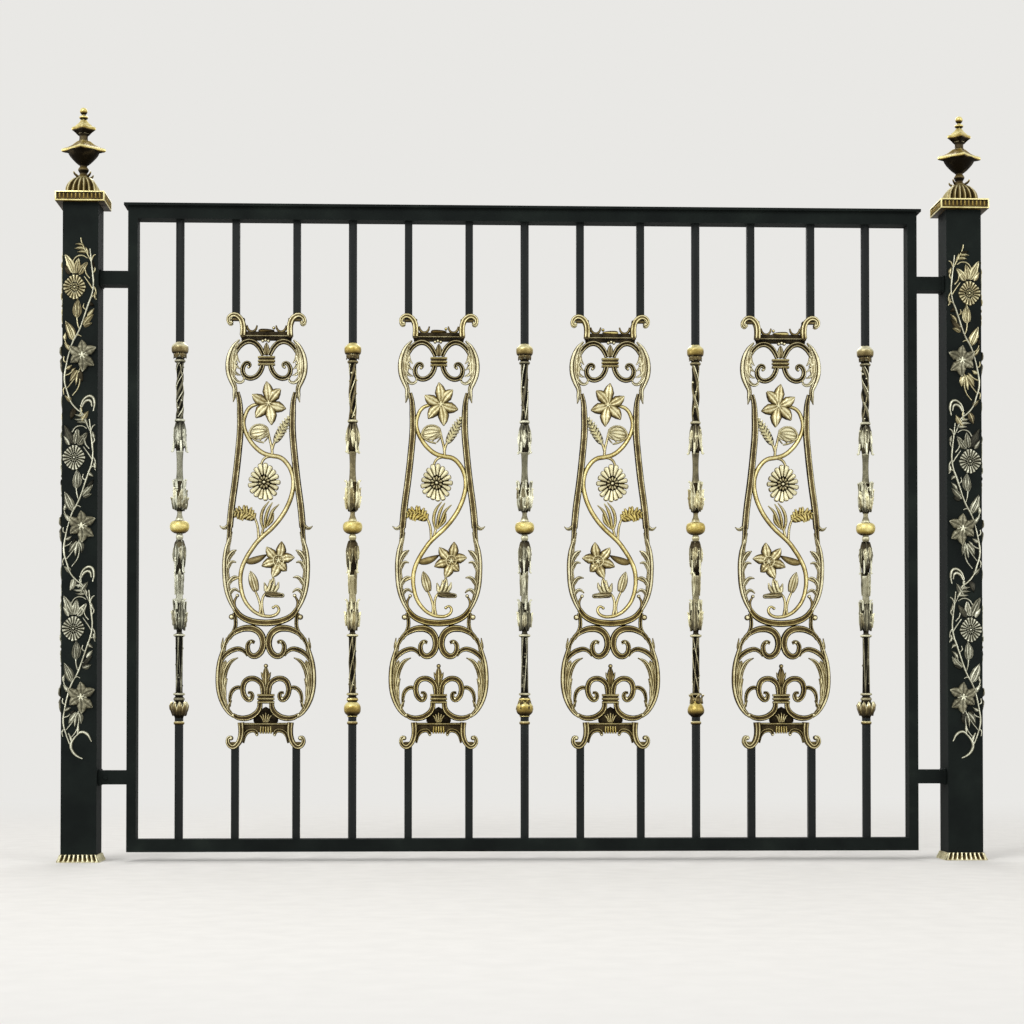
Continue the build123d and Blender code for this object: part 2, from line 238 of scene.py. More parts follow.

# %% [markdown]
# ## Finishing a piece
#
# Every new piece ends the same way: its mesh is scaled from millimetres to metres, its relief and
# painted shade are measured, it gets its material, it rides on the frame's one body, and it stands
# for its CAD node. Relief is how far a vertex stands above its neighbours along its own normal,
# smoothed a little, so ridges come out high and grooves low, whatever the piece's shape. What stands
# proud of the whole piece or was brushed on purpose is brighter. Painted shade darkens what faces
# down, and on some pieces the sides too, or everything but the tops.

# %% Relief of a mesh
RIDGE_WEIGHT = 1.3
RIDGE_LIMIT = 0.55
SHORTEST_EDGE = 0.4
OWN_SHARE = 0.65
STAND_AND_SHADE_WEIGHT = 0.7
# Painted shade on undersides starts once a normal points down more than this
UNDERSIDE_SHADE_FROM = 0.15
BRUSH_POWER = 2.5


def read_vectors(layer, name):
    """One vector for each item of a mesh layer."""
    values = np.zeros(len(layer) * 3)
    layer.foreach_get(name, values)
    return values.reshape(-1, 3)


def measure_relief_and_shade(mesh, stand_and_shade, underside_shade):
    """Writes each vertex's relief and painted shade: ridges near 1, grooves near 0, painted shade where it
    faces down.
    """
    count = len(mesh.vertices)
    place = read_vectors(mesh.vertices, "co") / MM
    normal = read_vectors(mesh.vertices, "normal")
    pairs = np.zeros(len(mesh.edges) * 2, int)
    mesh.edges.foreach_get("vertices", pairs)
    first, second = pairs.reshape(-1, 2).T
    step = place[second] - place[first]
    length = np.maximum(np.linalg.norm(step, axis=1), SHORTEST_EDGE)
    total, links, spread, brush = np.zeros((4, count))
    for near, sign in ((first, -1), (second, 1)):
        np.add.at(total, near, sign * (step * normal[near]).sum(1) / length ** 2)
        np.add.at(links, near, 1)
    links = np.maximum(links, 1)
    ridge = np.clip(total / links * RIDGE_WEIGHT, -RIDGE_LIMIT, RIDGE_LIMIT)
    for near, far in ((first, second), (second, first)):
        np.add.at(spread, near, ridge[far])
    ridge = OWN_SHARE * ridge + (1 - OWN_SHARE) * spread / links
    mesh.attributes["brush"].data.foreach_get("value", brush)
    # Painted shade: faces that point down are darkened as if in shadow
    underside_shade_mask = np.clip(-normal[:, 2] - UNDERSIDE_SHADE_FROM, 0, 1)
    # stand_and_shade gives proud parts more brush and, on some pieces, painted shade by facing
    relief_and_shade = 0.5 + ridge + STAND_AND_SHADE_WEIGHT * (stand_and_shade(place, normal) - 0.5) + brush - underside_shade * underside_shade_mask
    layer = mesh.attributes.new("relief_and_shade", "FLOAT", "POINT")
    layer.data.foreach_set("value", (np.clip(relief_and_shade, 0, 1) ** BRUSH_POWER).astype(np.float32))


# %% Drawings and finished pieces
SHARP_ANGLE = math.radians(38)


def new_drawing():
    """An empty bmesh whose vertices carry the gold and brush values."""
    bm = bmesh.new()
    for label in ("gold", "brush"):
        bm.verts.layers.float.new(label)
    return bm


def add_to(drawing, part, gold=0.0, brush=0.0):
    """Adds a small bmesh to a drawing, with how warm and how bright its brushed paint is."""
    before = len(drawing.verts)
    scrap = bpy.data.meshes.new("scrap")
    part.to_mesh(scrap)
    part.free()
    drawing.from_mesh(scrap)
    bpy.data.meshes.remove(scrap)
    warm, bright = (drawing.verts.layers.float[label] for label in ("gold", "brush"))
    drawing.verts.ensure_lookup_table()
    for vert in drawing.verts[before:]:
        vert[warm], vert[bright] = gold, brush


def moved(part, x=0.0, y=0.0, z=0.0):
    """The same part, moved."""
    bmesh.ops.translate(part, vec=(x, y, z), verts=part.verts)
    return part


def turned(part, degrees):
    """The same part, turned about the upright axis."""
    matrix = Matrix.Rotation(math.radians(degrees), 3, "Z")
    bmesh.ops.rotate(part, cent=(0, 0, 0), matrix=matrix, verts=part.verts)
    return part


def outward(part):
    """The same part with all its faces turned outwards."""
    bmesh.ops.recalc_face_normals(part, faces=part.faces)
    return part


def welded(part):
    """The same part with its doubles merged and its faces turned outwards."""
    bmesh.ops.remove_doubles(part, verts=part.verts, dist=0.001)
    return outward(part)


def mirrored(part):
    """The part's mirror image, left to right."""
    bmesh.ops.scale(part, vec=(-1, 1, 1), verts=part.verts)
    return outward(part)


def finish_piece(bm, name, material, replaced, stand_and_shade, underside_shade=0.0):
    """Turns a drawing in millimetres into a finished piece that stands for its CAD nodes."""
    bmesh.ops.scale(bm, vec=(MM, MM, MM), verts=bm.verts)
    mesh = bpy.data.meshes.new(name)
    bm.to_mesh(mesh)
    bm.free()
    for polygon in mesh.polygons:
        polygon.use_smooth = True
    mesh.set_sharp_from_angle(angle=SHARP_ANGLE)
    measure_relief_and_shade(mesh, stand_and_shade, underside_shade)
    mesh.materials.append(material)
    piece = placed(name, mesh)
    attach(piece, "root")
    if replaced:
        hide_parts(*replaced)
    print(name, sum(len(p.vertices) - 2 for p in mesh.polygons), "triangles")


# %% [markdown]
# ## Bands, blades and stems
#
# The scrolls are cast bands with a raised rim on each side and a dark groove between, the leaves on
# the border are blades with a crest, and the stems are round. A curve does all three best: a
# section is drawn once, one unit to each side, and pushed along a smooth line. The radius at each
# point of the line widens or narrows it, so a leaf can end in a fine tip.

# %% Sections
def even(left):
    """The front of a section from its left half."""
    return left + [(-x, y) for x, y in reversed(left[:-1])]


def two_sided(front):
    """A whole section from its front, mirrored to the back."""
    return front + [(x, -y) for x, y in reversed(front)]


def section_curve(name, points):
    """A closed section that a curve can be given as its bevel."""
    curve = bpy.data.curves.new(name, "CURVE")
    curve.dimensions = "2D"
    spline = curve.splines.new("POLY")
    spline.points.add(len(points) - 1)
    for point, (x, y) in zip(spline.points, points):
        point.co = (x, y, 0, 1)
    spline.use_cyclic_u = True
    return placed(name, curve)


BAND = [(-1, 0.08), (-0.86, 0.5), (-0.68, 0.92), (-0.54, 1.0), (-0.38, 0.9), (-0.2, 0.5), (0, 0.42)]
STRAP = [(-1, 0.08), (-0.88, 0.5), (-0.74, 0.88), (-0.6, 1.0), (-0.44, 0.93), (-0.24, 0.78), (0, 0.74)]
BLADE = [(-1, 0.08), (-0.9, 0.5), (-0.7, 0.9), (-0.48, 1.0), (-0.24, 0.96), (0, 0.74), (0.16, 0.44),
         (0.34, 0.58), (0.52, 0.52), (0.7, 0.26), (0.86, 0.3), (1, 0.06)]
SECTIONS = {
    "band": two_sided(even(BAND)),
    "strap": two_sided(even(STRAP)),
    "blade": two_sided(BLADE),
    "spear": two_sided(even([(-1, 0.12), (-0.55, 0.62), (0, 1.0)])),
    "petal": two_sided(even([(-1, 0.08), (-0.75, 0.36), (-0.35, 0.5), (0, 0.34)])),
    "round": two_sided(even([(-1, 0.3), (-0.7, 0.8), (0, 1.1)])),
    "laid": even([(-1, -0.3), (-0.95, 0.5), (-0.5, 1.3), (0, 1.55)]),
}
sections = {name: section_curve(name, points) for name, points in SECTIONS.items()}
print(len(sections), "sections")


# %% Sweeps
def value_at(values, share):
    """The value at a share of the way through a list."""
    return float(np.interp(share * (len(values) - 1), range(len(values)), values))


def sweep(strokes, kind="round", flat=True, steps=4, thick=1.0):
    """Pushes a section along strokes. A stroke is its points and its half widths, spread evenly."""
    curve = bpy.data.curves.new("strokes", "CURVE")
    curve.dimensions = "2D" if flat else "3D"
    curve.resolution_u = steps
    curve.use_fill_caps = True
    curve.bevel_mode = "OBJECT"
    curve.bevel_object = sections[kind]
    for points, widths in strokes:
        spline = curve.splines.new("BEZIER")
        spline.bezier_points.add(len(points) - 1)
        for number, (knot, place) in enumerate(zip(spline.bezier_points, points)):
            knot.co = (*place, 0) if len(place) == 2 else place
            knot.handle_left_type = knot.handle_right_type = "AUTO"
            knot.radius = value_at(widths, number / (len(points) - 1))
    holder = placed("strokes", curve)
    bpy.context.view_layer.update()
    graph = bpy.context.evaluated_depsgraph_get()
    mesh = bpy.data.meshes.new_from_object(holder.evaluated_get(graph))
    bm = bmesh.new()
    bm.from_mesh(mesh)
    bpy.data.objects.remove(holder)
    bpy.data.curves.remove(curve)
    bpy.data.meshes.remove(mesh)
    bmesh.ops.remove_doubles(bm, verts=bm.verts, dist=0.0005)
    bmesh.ops.scale(bm, vec=(1, 1, thick), verts=bm.verts)
    return outward(bm)


def same_widths(lines, widths):
    """Strokes that share their half widths."""
    return [(line, widths) for line in lines]


def paired(strokes):
    """Strokes of the right half and their mirror images, run backwards so that sections mirror too."""
    return strokes + [([(-x, y) for x, y in reversed(points)], widths[::-1]) for points, widths in strokes]


# %% [markdown]
# ## Leaves, beads and bars
#
# A leaf starts as a flat grid. One direction runs from base to tip, the other from edge to edge:
# the width follows the leaf's outline, with lobes if it has them, and ribs and a crown lift the
# surface. The rim is then drawn down to the middle plane and the whole mirrored, which makes a
# closed casting that looks the same from the front and from the back.

# %% Leaves
CROWN_SHARE = 0.45
LOBE_MIDDLE = 0.78
LOBE_SWING = 0.28


def grid_places(bm, rows, columns):
    """A grid's vertices, each with its share from base to tip and its place between the edges, -1 to 1."""
    bmesh.ops.create_grid(bm, x_segments=rows, y_segments=columns, size=0.5)
    return [(vert, min(max(vert.co.x + 0.5, 0), 1), 2 * vert.co.y) for vert in bm.verts]


def lobed(outline, lobes, s):
    """An outline that swells and shrinks from lobe to lobe."""
    return outline * (LOBE_MIDDLE + LOBE_SWING * abs(math.sin(math.pi * lobes * s))) if lobes else outline


def doubled(part, merge=0.0):
    """The part with its mirror image behind the middle plane."""
    bmesh.ops.mirror(part, geom=part.verts[:] + part.edges[:] + part.faces[:], axis="Z", merge_dist=merge)
    return part


def both_faces(part):
    """A lifted part with its mirror image on the other face."""
    return outward(doubled(part))


def leaf(base, tip, width, lobes=0, ribs=2, rise=4.0, foot=0.3, bend=0.0, rim=1.4, widest=0.42, point=0.8,
         rows=12, columns=8):
    """A leaf in the drawing plane, with its front towards +z."""
    bm = bmesh.new()
    start = Vector(base)
    reach = Vector(tip) - start
    power = math.log(0.5) / math.log(widest)
    for vert, s, t in grid_places(bm, rows, columns):
        outline = lobed(foot * (1 - s) ** 3 + max(math.sin(math.pi * s ** power), 0) ** point, lobes, s)
        crown = 1 - t * t
        ridge = 0.5 + 0.5 * math.cos(math.pi * ribs * t)
        swell = CROWN_SHARE * crown + (1 - CROWN_SHARE) * ridge * math.sqrt(crown)
        swell *= 0.5 + 0.5 * math.sin(math.pi * s)
        side = t * width / 2 * outline + bend * math.sin(math.pi * s)
        vert.co = (s * reach.length, side, rim + (rise - rim) * swell)
    rim_edges = [edge for edge in bm.edges if edge.is_boundary]
    for item in bmesh.ops.extrude_edge_only(bm, edges=rim_edges)["geom"]:
        if isinstance(item, bmesh.types.BMVert):
            item.co.z = 0
    welded(doubled(bm, merge=0.001))
    turn = Matrix.Rotation(math.atan2(reach.y, reach.x), 4, "Z")
    bmesh.ops.transform(bm, matrix=Matrix.Translation((start.x, start.y, 0)) @ turn, verts=bm.verts)
    return bm


def bead(x, y, radius, depth=None, segments=12):
    """A small round knob, as deep as asked."""
    bm = bmesh.new()
    bmesh.ops.create_uvsphere(bm, u_segments=segments, v_segments=segments // 2 + 2, radius=radius)
    bmesh.ops.scale(bm, vec=(1, 1, (depth or radius) / radius), verts=bm.verts)
    return moved(bm, x, y)


def soften(bm, edges, offset):
    """Rounds edges off a little."""
    bmesh.ops.bevel(bm, geom=edges, offset=offset, offset_type="OFFSET", segments=2, profile=0.5,
                    affect="EDGES", material=-1)


def bar(left, right, low, high, depth, edge=1.0):
    """A level bar across the drawing with softened edges."""
    bm = bmesh.new()
    bmesh.ops.create_cube(bm, size=1)
    bmesh.ops.scale(bm, vec=(right - left, high - low, 2 * depth), verts=bm.verts)
    soften(bm, bm.edges[:], edge)
    return moved(bm, (left + right) / 2, (low + high) / 2)


# %% Lifted parts and feathered leaves
def raise_off(part, x, y, near, far, reach):
    """Lifts a part off the middle plane: by near at (x, y), and by far at the given reach."""
    for vert in part.verts:
        away = min(math.dist((vert.co.x, vert.co.y), (x, y)) / reach, 1.2)
        vert.co.z += near + (far - near) * away ** 2
    return part


def between(start, end, share, side=0.0):
    """A point on the way from start to end, moved sideways."""
    across, up = end[0] - start[0], end[1] - start[1]
    length = math.hypot(across, up)
    return start[0] + across * share - up / length * side, start[1] + up * share + across / length * side


def fingers(spine, count, reach, half, lean=0.6):
    """Strokes of a feathered leaf: fat fingers along both sides of a spine."""
    strokes = [(spine, [half * 0.8, half * 0.5])]
    for number in range(count):
        along = (number + 0.4) / count * (len(spine) - 1)
        low = min(int(along), len(spine) - 2)
        root = between(spine[low], spine[low + 1], along - low)
        ahead = (Vector(spine[low + 1]) - Vector(spine[low])).normalized()
        size = math.sin(math.pi * (0.2 + 0.72 * number / count))
        for way, length in zip((1, -1), reach):
            out = (Vector((-ahead.y, ahead.x)) * way + ahead * lean).normalized() * length * size
            tip = (root[0] + out.x, root[1] + out.y)
            strokes.append(([root, between(root, tip, 0.6, -way * 0.8), tip], [half * 0.7, half, half * 0.5]))
    return strokes


# %% [markdown]
# ## Flowers
#
# A sunflower has a small knob, a ring of short inner petals and a ring of blunt outer petals on a
# dark disc, so that the gaps between them stay dark. A star flower has six pointed petals with a
# crease, which rise towards the viewer, and five stamens round a bead. Each petal is a stroke from
# the middle out.

# %% Flowers
PETAL_WAVE = 0.05
DISC_SHADE = -0.55
INNER_RING = 0.36
STAMENS = 5


def around(radius, angle, x=0.0, y=0.0, squeeze=1.0):
    """A point at a radius and an angle round a middle."""
    return x + radius * math.cos(angle), y + squeeze * radius * math.sin(angle)


def ring_of_petals(x, y, across, up, count, shares, widths, phase=0.0):
    """Strokes from the middle outwards. shares are the places along them, of the full reach."""
    lines = []
    for number in range(count):
        wave = 1 + PETAL_WAVE * math.sin(5 * number + 1)
        angle = 2 * math.pi * (number + phase) / count
        lines.append([around(across * share * wave, angle, x, y, up / across) for share in shares])
    return same_widths(lines, widths)


def sunflower(drawing, x, y, across, up, petals, thick, gold, brush, steps=3):
    """A flower with blunt petals, reaching across and up from its middle."""
    disc = bead(0, 0, 1, 0.5 * thick, 20)
    bmesh.ops.scale(disc, vec=(across * 0.8, up * 0.8, 1), verts=disc.verts)
    add_to(drawing, moved(disc, x, y), 0, DISC_SHADE)
    half = math.pi * (across + up) / 2 / petals * 0.7
    flat = thick / (half * 1.1)
    outer = ring_of_petals(x, y, across, up, petals, (0.4, 0.58, 0.78, 0.93, 1),
                           [half * share for share in (0.5, 0.8, 1.06, 1.14, 0.5)])
    add_to(drawing, sweep(outer, steps=steps, thick=flat), gold, brush)
    inner = ring_of_petals(x, y, across * INNER_RING, up * INNER_RING, max(petals * 5 // 8, 6),
                           (0.45, 0.75, 1), [half * share for share in (0.4, 0.6, 0.4)], 0.5)
    add_to(drawing, sweep(inner, steps=2, thick=2.2 * flat), gold, brush - 0.08)
    add_to(drawing, bead(x, y, across * 0.12, thick * 1.3, 10), gold, brush)


def star_flower(drawing, x, y, tips, half, lift, gold, brush, heart=3.2, two_faced=True):
    """A flower with pointed, creased petals that reach the given tips."""
    def lifted(part, near, far, reach, brighter):
        raise_off(part, x, y, near, far, reach)
        add_to(drawing, both_faces(part) if two_faced else part, gold, brush + brighter)

    middle = (x, y)
    for number, tip in enumerate(tips):
        bow = 1.6 if number % 2 else -1.2
        shares = (0.04, 0.3, 0.56, 0.8, 1)
        line = [between(middle, tip, share, bow * math.sin(math.pi * share)) for share in shares]
        widths = [half * share for share in (0.3, 0.8, 1, 0.66, 0.1)]
        petal = sweep([(line, widths)], "petal", steps=3, thick=1.15)
        lifted(petal, 1.8, lift if number % 2 else lift * 0.6, math.dist(middle, tip), 0)
    widths = [heart * share for share in (0.3, 0.36, 0.2)]
    for number in range(STAMENS):
        tip = around(heart * 1.5, math.radians(360 / STAMENS * number + 20), x, y)
        stamen = sweep([([middle, between(middle, tip, 0.6), tip], widths)], steps=2)
        lifted(stamen, 4, 3.4, heart * 1.5, 0.15)
    add_to(drawing, bead(x, y, heart * 0.5, 5.6, 8), gold, brush + 0.25)


# %% [markdown]
# ## The cast scroll panel
#
# One panel is drawn flat, in millimetres from its middle line and its foot, and then stood up. A
# lobed head and a long belly make a border of bands and acanthus blades, which holds an S-shaped
# vine with two lilies, a sunflower, buds and leaves. An oval foot holds spirals and a
# fleur-de-lis. The panel is cast in two matching faces, so everything is as good from the back.
# The tables hold the strokes of the right half: the points of each, then its half widths.

# %% Border strokes of the head and the belly
HEAD_BLADES = [
    ([(43, 654), (51, 644), (57.5, 629), (59.8, 614), (58.5, 599), (54.5, 587), (50.5, 577), (50.5, 566),
     (53, 554)], [1, 3, 4, 4.3, 4.2, 3.6, 3, 2.8, 0.5]),
    ([(53, 640), (49, 632), (46, 622), (42, 617)], [1, 2.2, 0.6]),
    ([(56, 628), (51, 619), (47, 611), (42, 607)], [1, 2.3, 0.6]),
    ([(57, 615), (52, 605), (47, 599), (41, 597)], [1, 2.3, 0.6]),
    ([(56, 601), (50, 590), (43, 585.5), (37, 588), (35.5, 592)], [2, 2.4, 2, 1.6, 1]),
]
HEAD_BANDS = [
    ([(5, 629), (8, 636), (14, 645), (22, 650.5), (31, 651), (40, 646), (47, 637), (51.5, 626), (53, 615)],
     [2.8, 3.2, 3.4, 3.4, 3.4, 3.2, 2.8, 2.2, 1.2]),
    ([(6, 615), (8, 607), (13, 598.5), (20, 593.5), (28, 592.5), (34.5, 596), (38, 604), (36.5, 612),
     (31, 617), (26.5, 614), (28.5, 609.5)], [3.2, 3.2, 3.2, 3, 2.6, 1.8]),
]
RAILS = [
    ([(46, 570), (43, 556), (41.8, 536), (41.5, 510), (44, 478), (49.5, 427), (55, 386), (58, 354)],
     [2.5, 4, 4, 4]),
    ([(58, 362), (58.5, 345), (60.5, 330), (62.5, 312)], [3.4, 2.8, 2.2, 1.4]),
]
BELLY_BLADES = [
    ([(54, 347), (58.5, 333), (62.5, 318), (64.6, 299), (64.5, 280), (63, 262), (59.5, 246), (54, 232),
     (48, 221)], [0.7, 2.6, 3.5, 3.9, 3.9, 3.9, 3.7, 3.2, 2.6]),
    ([(47, 318), (53, 314), (59, 306), (63, 294)], [0.6, 3.2, 3.2, 1.6]),
    ([(47.5, 298), (54, 299), (59, 293), (63, 280)], [0.8, 2, 2.6, 1.4]),
    ([(42.5, 274), (50, 274.5), (57, 268), (62, 256)], [0.6, 2.2, 2.8, 1.6]),
    ([(42, 250), (49, 255), (55, 252), (58.5, 242)], [0.8, 2, 2.4, 1.4]),
    ([(57, 362), (62, 355), (68, 352.5), (74, 356.5)], [2.5, 2.6, 1.9, 0.5]),
]

# %% Border strokes of the waist, the oval and the fleur-de-lis
WAIST_BANDS = [
    ([(50, 218), (48.5, 208), (48.5, 196), (52, 186), (58, 176)], [2.6, 2.4, 2.4, 2.6, 2]),
    ([(66, 164), (57, 180), (44, 189.5), (30, 193), (17, 191), (8.5, 184), (4.5, 173), (5.5, 161), (11, 152),
     (19, 148.5), (26, 152), (29, 160), (28, 168), (23, 172), (18, 170)],
     [1.6, 3.2, 4.2, 4.4, 4.2, 4, 3.8, 3.4, 3, 2.6, 2]),
    ([(73, 132), (68, 146), (60, 154), (50, 159), (42, 160), (34, 156), (29, 149)],
     [1.5, 2.8, 3.2, 3.2, 3, 2.4, 1.6]),
]
OVAL_BLADES = [
    ([(62, 178), (67, 160), (72.5, 138), (74.5, 115), (73, 92), (67, 73), (58, 59), (50, 52)],
     [1.2, 3, 4.1, 4.4, 4.2, 3.8, 3.2, 2.2]),
    ([(44, 146), (54, 141), (61, 132), (65.5, 118), (67.5, 100), (66, 84)], [0.6, 2.4, 3.2, 3.2, 2.4, 1]),
    ([(61, 113), (64, 106), (66, 96), (66, 82), (62, 70)], [0.6, 2, 2.6, 2.4, 1.5]),
    ([(54, 78), (57.5, 72), (60, 64), (57, 56)], [0.6, 1.8, 2.4, 1.6]),
    ([(65, 150), (69, 163), (68, 178)], [1.2, 2.4, 0.6]),
    ([(9, 100), (6, 88), (3, 76)], [0.8, 1.6, 1.2]),
]
FLEUR_BANDS = [
    ([(4, 86), (5.8, 102), (12.5, 110), (22, 113), (31.5, 109.5), (36, 100.5), (36, 91), (31.8, 82), (26, 79),
     (22, 83), (23, 89.5), (28.5, 90.5)], [3, 3.4, 3.5, 3.4, 3.2, 2.8, 1.6]),
    ([(36.5, 95), (42, 98.5), (47, 98), (53, 93.5), (56.5, 85), (57, 68)], [2, 2.4, 2.6, 2.6, 2.2, 1.2]),
    ([(9, 75), (10.6, 64), (18.3, 55), (30, 50), (43.4, 50.5), (52, 55)], [3, 3.4, 3.6, 3.6, 3.2, 2.4]),
    ([(35.6, 10), (31.8, 25), (24, 30), (16.4, 29), (13.5, 22.5)], [1.2, 2.6, 2.8, 2.6, 1.8]),
]
U_BAND = [
    ([(-50, 224), (-41, 213), (-27, 205.5), (-10, 202), (10, 202), (27, 205.5), (41, 213), (50, 224)],
     [3.2, 4, 4.2, 4, 3.2]),
]
END_CURLS = [
    ([(44, 216), (49, 226), (50, 236), (46, 244)], [1.4, 2, 1.8, 1.4]),
    ([(31.5, 677), (29.5, 670.5), (24, 667), (18, 669.5), (15, 677)], [1.2, 1.8, 1.9, 1.6, 1]),
    ([(0, 84), (0, 96), (0, 108)], [2, 1.8, 2.4]),
]
# Strokes, how much broader they are drawn, section, gold and brush
BORDER = [
    (HEAD_BLADES, 1.34, "blade", 0.05, 0.24), (HEAD_BANDS, 1.32, "band", 0.2, 0.1),
    (RAILS, 1.38, "strap", 0.3, 0.0), (BELLY_BLADES, 1.32, "blade", 0.12, 0.18),
    (WAIST_BANDS, 1.34, "strap", 0.6, -0.05), (OVAL_BLADES, 1.26, "blade", 0.35, 0.08),
    (FLEUR_BANDS, 1.34, "strap", 0.65, -0.05), (END_CURLS, 1.2, "round", 0.4, 0.06)]
PANEL_BEADS = [
    (48, 616, 2.4), (45.5, 245, 3), (54.5, 211, 4.8), (26, 81, 3), (52, 54.5, 3), (14, 23, 2.2),
    (28.5, 610, 2.4), (35.5, 592, 2.2), (23.5, 171, 2.6)]
print("a panel has", 2 * sum(len(group[0]) for group in BORDER) + len(U_BAND), "border strokes")


# %% Panel border and scrolls
def widened(strokes, times):
    """The same strokes, broader by a factor."""
    return [(points, [times * width for width in widths]) for points, widths in strokes]


def panel_border(drawing):
    """The bands, blades and beads, all symmetric."""
    for strokes, broader, kind, gold, brush in BORDER:
        add_to(drawing, sweep(paired(widened(strokes, broader)), kind, steps=3), gold, brush)
    add_to(drawing, sweep(widened(U_BAND, 1.34), "strap"), 0.85, -0.04)
    for side in (-1, 1):
        for x, y, radius in PANEL_BEADS:
            add_to(drawing, bead(side * x, y, radius, radius + 1.8, 10), 0.25, 0.16)


# %% Leaf bodies of the border
# Foot, tip, width, bend, gold and brush of the right half's leaves, which fill the blades' inner side
BODY_LEAVES = [
    ((48, 650), (52, 584), 15, 4.5, 0.05, 0.34), ((59, 330), (54, 236), 8, 5.5, 0.12, 0.3),
    ((64, 142), (60, 62), 12, 7, 0.35, 0.3)]
BODY_SHAPE = {"lobes": 4, "ribs": 3, "rise": 2.8, "rim": 1.0, "rows": 20, "columns": 10, "foot": 0.2}


def panel_bodies(drawing):
    """The veined bodies of the acanthus leaves, behind their blades and barbs."""
    for base, tip, width, bend, gold, brush in BODY_LEAVES:
        for side in (-1, 1):
            body = leaf(base, tip, width, bend=bend, **BODY_SHAPE)
            add_to(drawing, mirrored(body) if side < 0 else body, gold, brush)


# %% Panel cornice, clamps and feet
HORN = [
    (37.5, 660), (37, 672), (39, 683), (44, 690), (51, 693), (57.5, 690.5), (60.5, 685), (58, 679.5),
    (54, 681)]
FOOT = [(39.5, 43), (38.5, 31), (40, 18), (45, 8), (51.5, 4), (57.5, 7), (60, 14), (57, 19.5), (53, 18)]
CLASP_WIDTHS = [4.8, 4.6, 4.2, 4, 3.7, 3.2, 2.6, 2]
CLAMP_WIDTH = 13.5
CLAMP_PITCH = 5.7


def level_rod(half, level, radius, thick):
    """A level round rod across the drawing."""
    return sweep([([(-half, level), (0, level + 0.01), (half, level)], [radius])], thick=thick)


def clamp(drawing, low):
    """Three rolled bands that hold the scrolls together, on a dark block."""
    add_to(drawing, bar(1.5 - CLAMP_WIDTH, CLAMP_WIDTH - 1.5, low + 1, low + 15.5, 4.2), 0, -0.45)
    for number in range(3):
        add_to(drawing, level_rod(CLAMP_WIDTH, low + 2.4 + CLAMP_PITCH * number, 2.1, 2.9), 0.5, 0.34)


def panel_head(drawing):
    """The cornice with its small leaf, the upper clamp and the trefoil, on the middle line."""
    add_to(drawing, bar(-40, 40, 652.5, 658, 2.2), 0, -0.5)
    add_to(drawing, bar(-36, 36, 661, 667, 2.8), 0, -0.42)
    add_to(drawing, level_rod(41.5, 660, 1.6, 2.8), 0.1, 0.25)
    add_to(drawing, leaf((-13, 668), (13, 668.4), 6.5, ribs=1, rise=5.2, foot=0.4, point=0.5), 1.0, 0.2)
    add_to(drawing, bead(11.5, 673, 2.6, 4, 10), 0.9, 0.1)
    clamp(drawing, 612)
    for x, low in ((-6, 652), (-1.5, 653.5), (3, 652)):
        add_to(drawing, bead(x, low, 2.7, 4.6, 10), 0.05, 0.3)
    add_to(drawing, leaf((0, 629), (0, 650), 10, rise=4.2), 0.1, 0.2)


def panel_foot(drawing):
    """The lower clamp, the bud, the fans and the foot's bar, on the middle line."""
    clamp(drawing, 72.5)
    add_to(drawing, leaf((0, 100), (0, 134), 12, rise=4.8, foot=0.2), 0.5, 0.1)
    sepal = ([(0, 108), (4.5, 114), (7.5, 123)], [1.2, 2.6, 0.8])
    add_to(drawing, sweep(paired([sepal]), "spear", thick=1.3), 0.5, 0.2)
    add_to(drawing, bead(0, 133, 3.6, 5, 10), 0.4, 0.05)
    add_to(drawing, leaf((0, 41), (0, 68), 30, ribs=1, rise=2.4, foot=1.0), 0.2, -0.36)
    add_to(drawing, bar(-37, 37, 27, 40, 2.2), 0.3, -0.3)
    add_to(drawing, level_rod(42, 40.5, 2, 2.4), 0.45, 0.06)
    for step in range(-2, 3):
        fan = [(step * 1.6, 43), (step * 3.2, 51), (step * 4.6, 58 - abs(step) * 2)]
        add_to(drawing, sweep([(fan, [1.2, 1.7, 1.2])], steps=3, thick=2.4), 0.4, 0.3)
        flute = [(step * 4.2, 25), (step * 4, 31), (step * 3.8, 36.5)]
        add_to(drawing, sweep([(flute, [1.5, 1.9, 1.5])], steps=3, thick=2.2), 1.0, 0.3)


def panel_clasps(drawing):
    """The horns and feet, which pass the bars in front and behind."""
    for points, brush in ((HORN, 0.12), (FOOT, -0.02)):
        for lift in (-6.6, 6.6):
            strand = sweep(paired([(points, CLASP_WIDTHS)]), "band", steps=3, thick=0.55)
            add_to(drawing, moved(strand, z=lift), 0.45, brush)
    for side in (-1, 1):
        for x, low, high in ((37.8, 657, 688), (39.2, 16, 42)):
            add_to(drawing, moved(bar(-3.2, 3.2, low, high, 6.4, 0.8), side * x), 0, -0.4)
        add_to(drawing, bead(side * 56, 681.5, 3.3, 8.2), 0.15, 0.22)
        add_to(drawing, bead(side * 55, 18, 3.9, 8.2), 0.1, 0.22)
        for low in (684, 8):
            add_to(drawing, moved(bar(-7, 7, low, low + 4, 4.4, 0.8), side * 48.5), 0.2, -0.3)


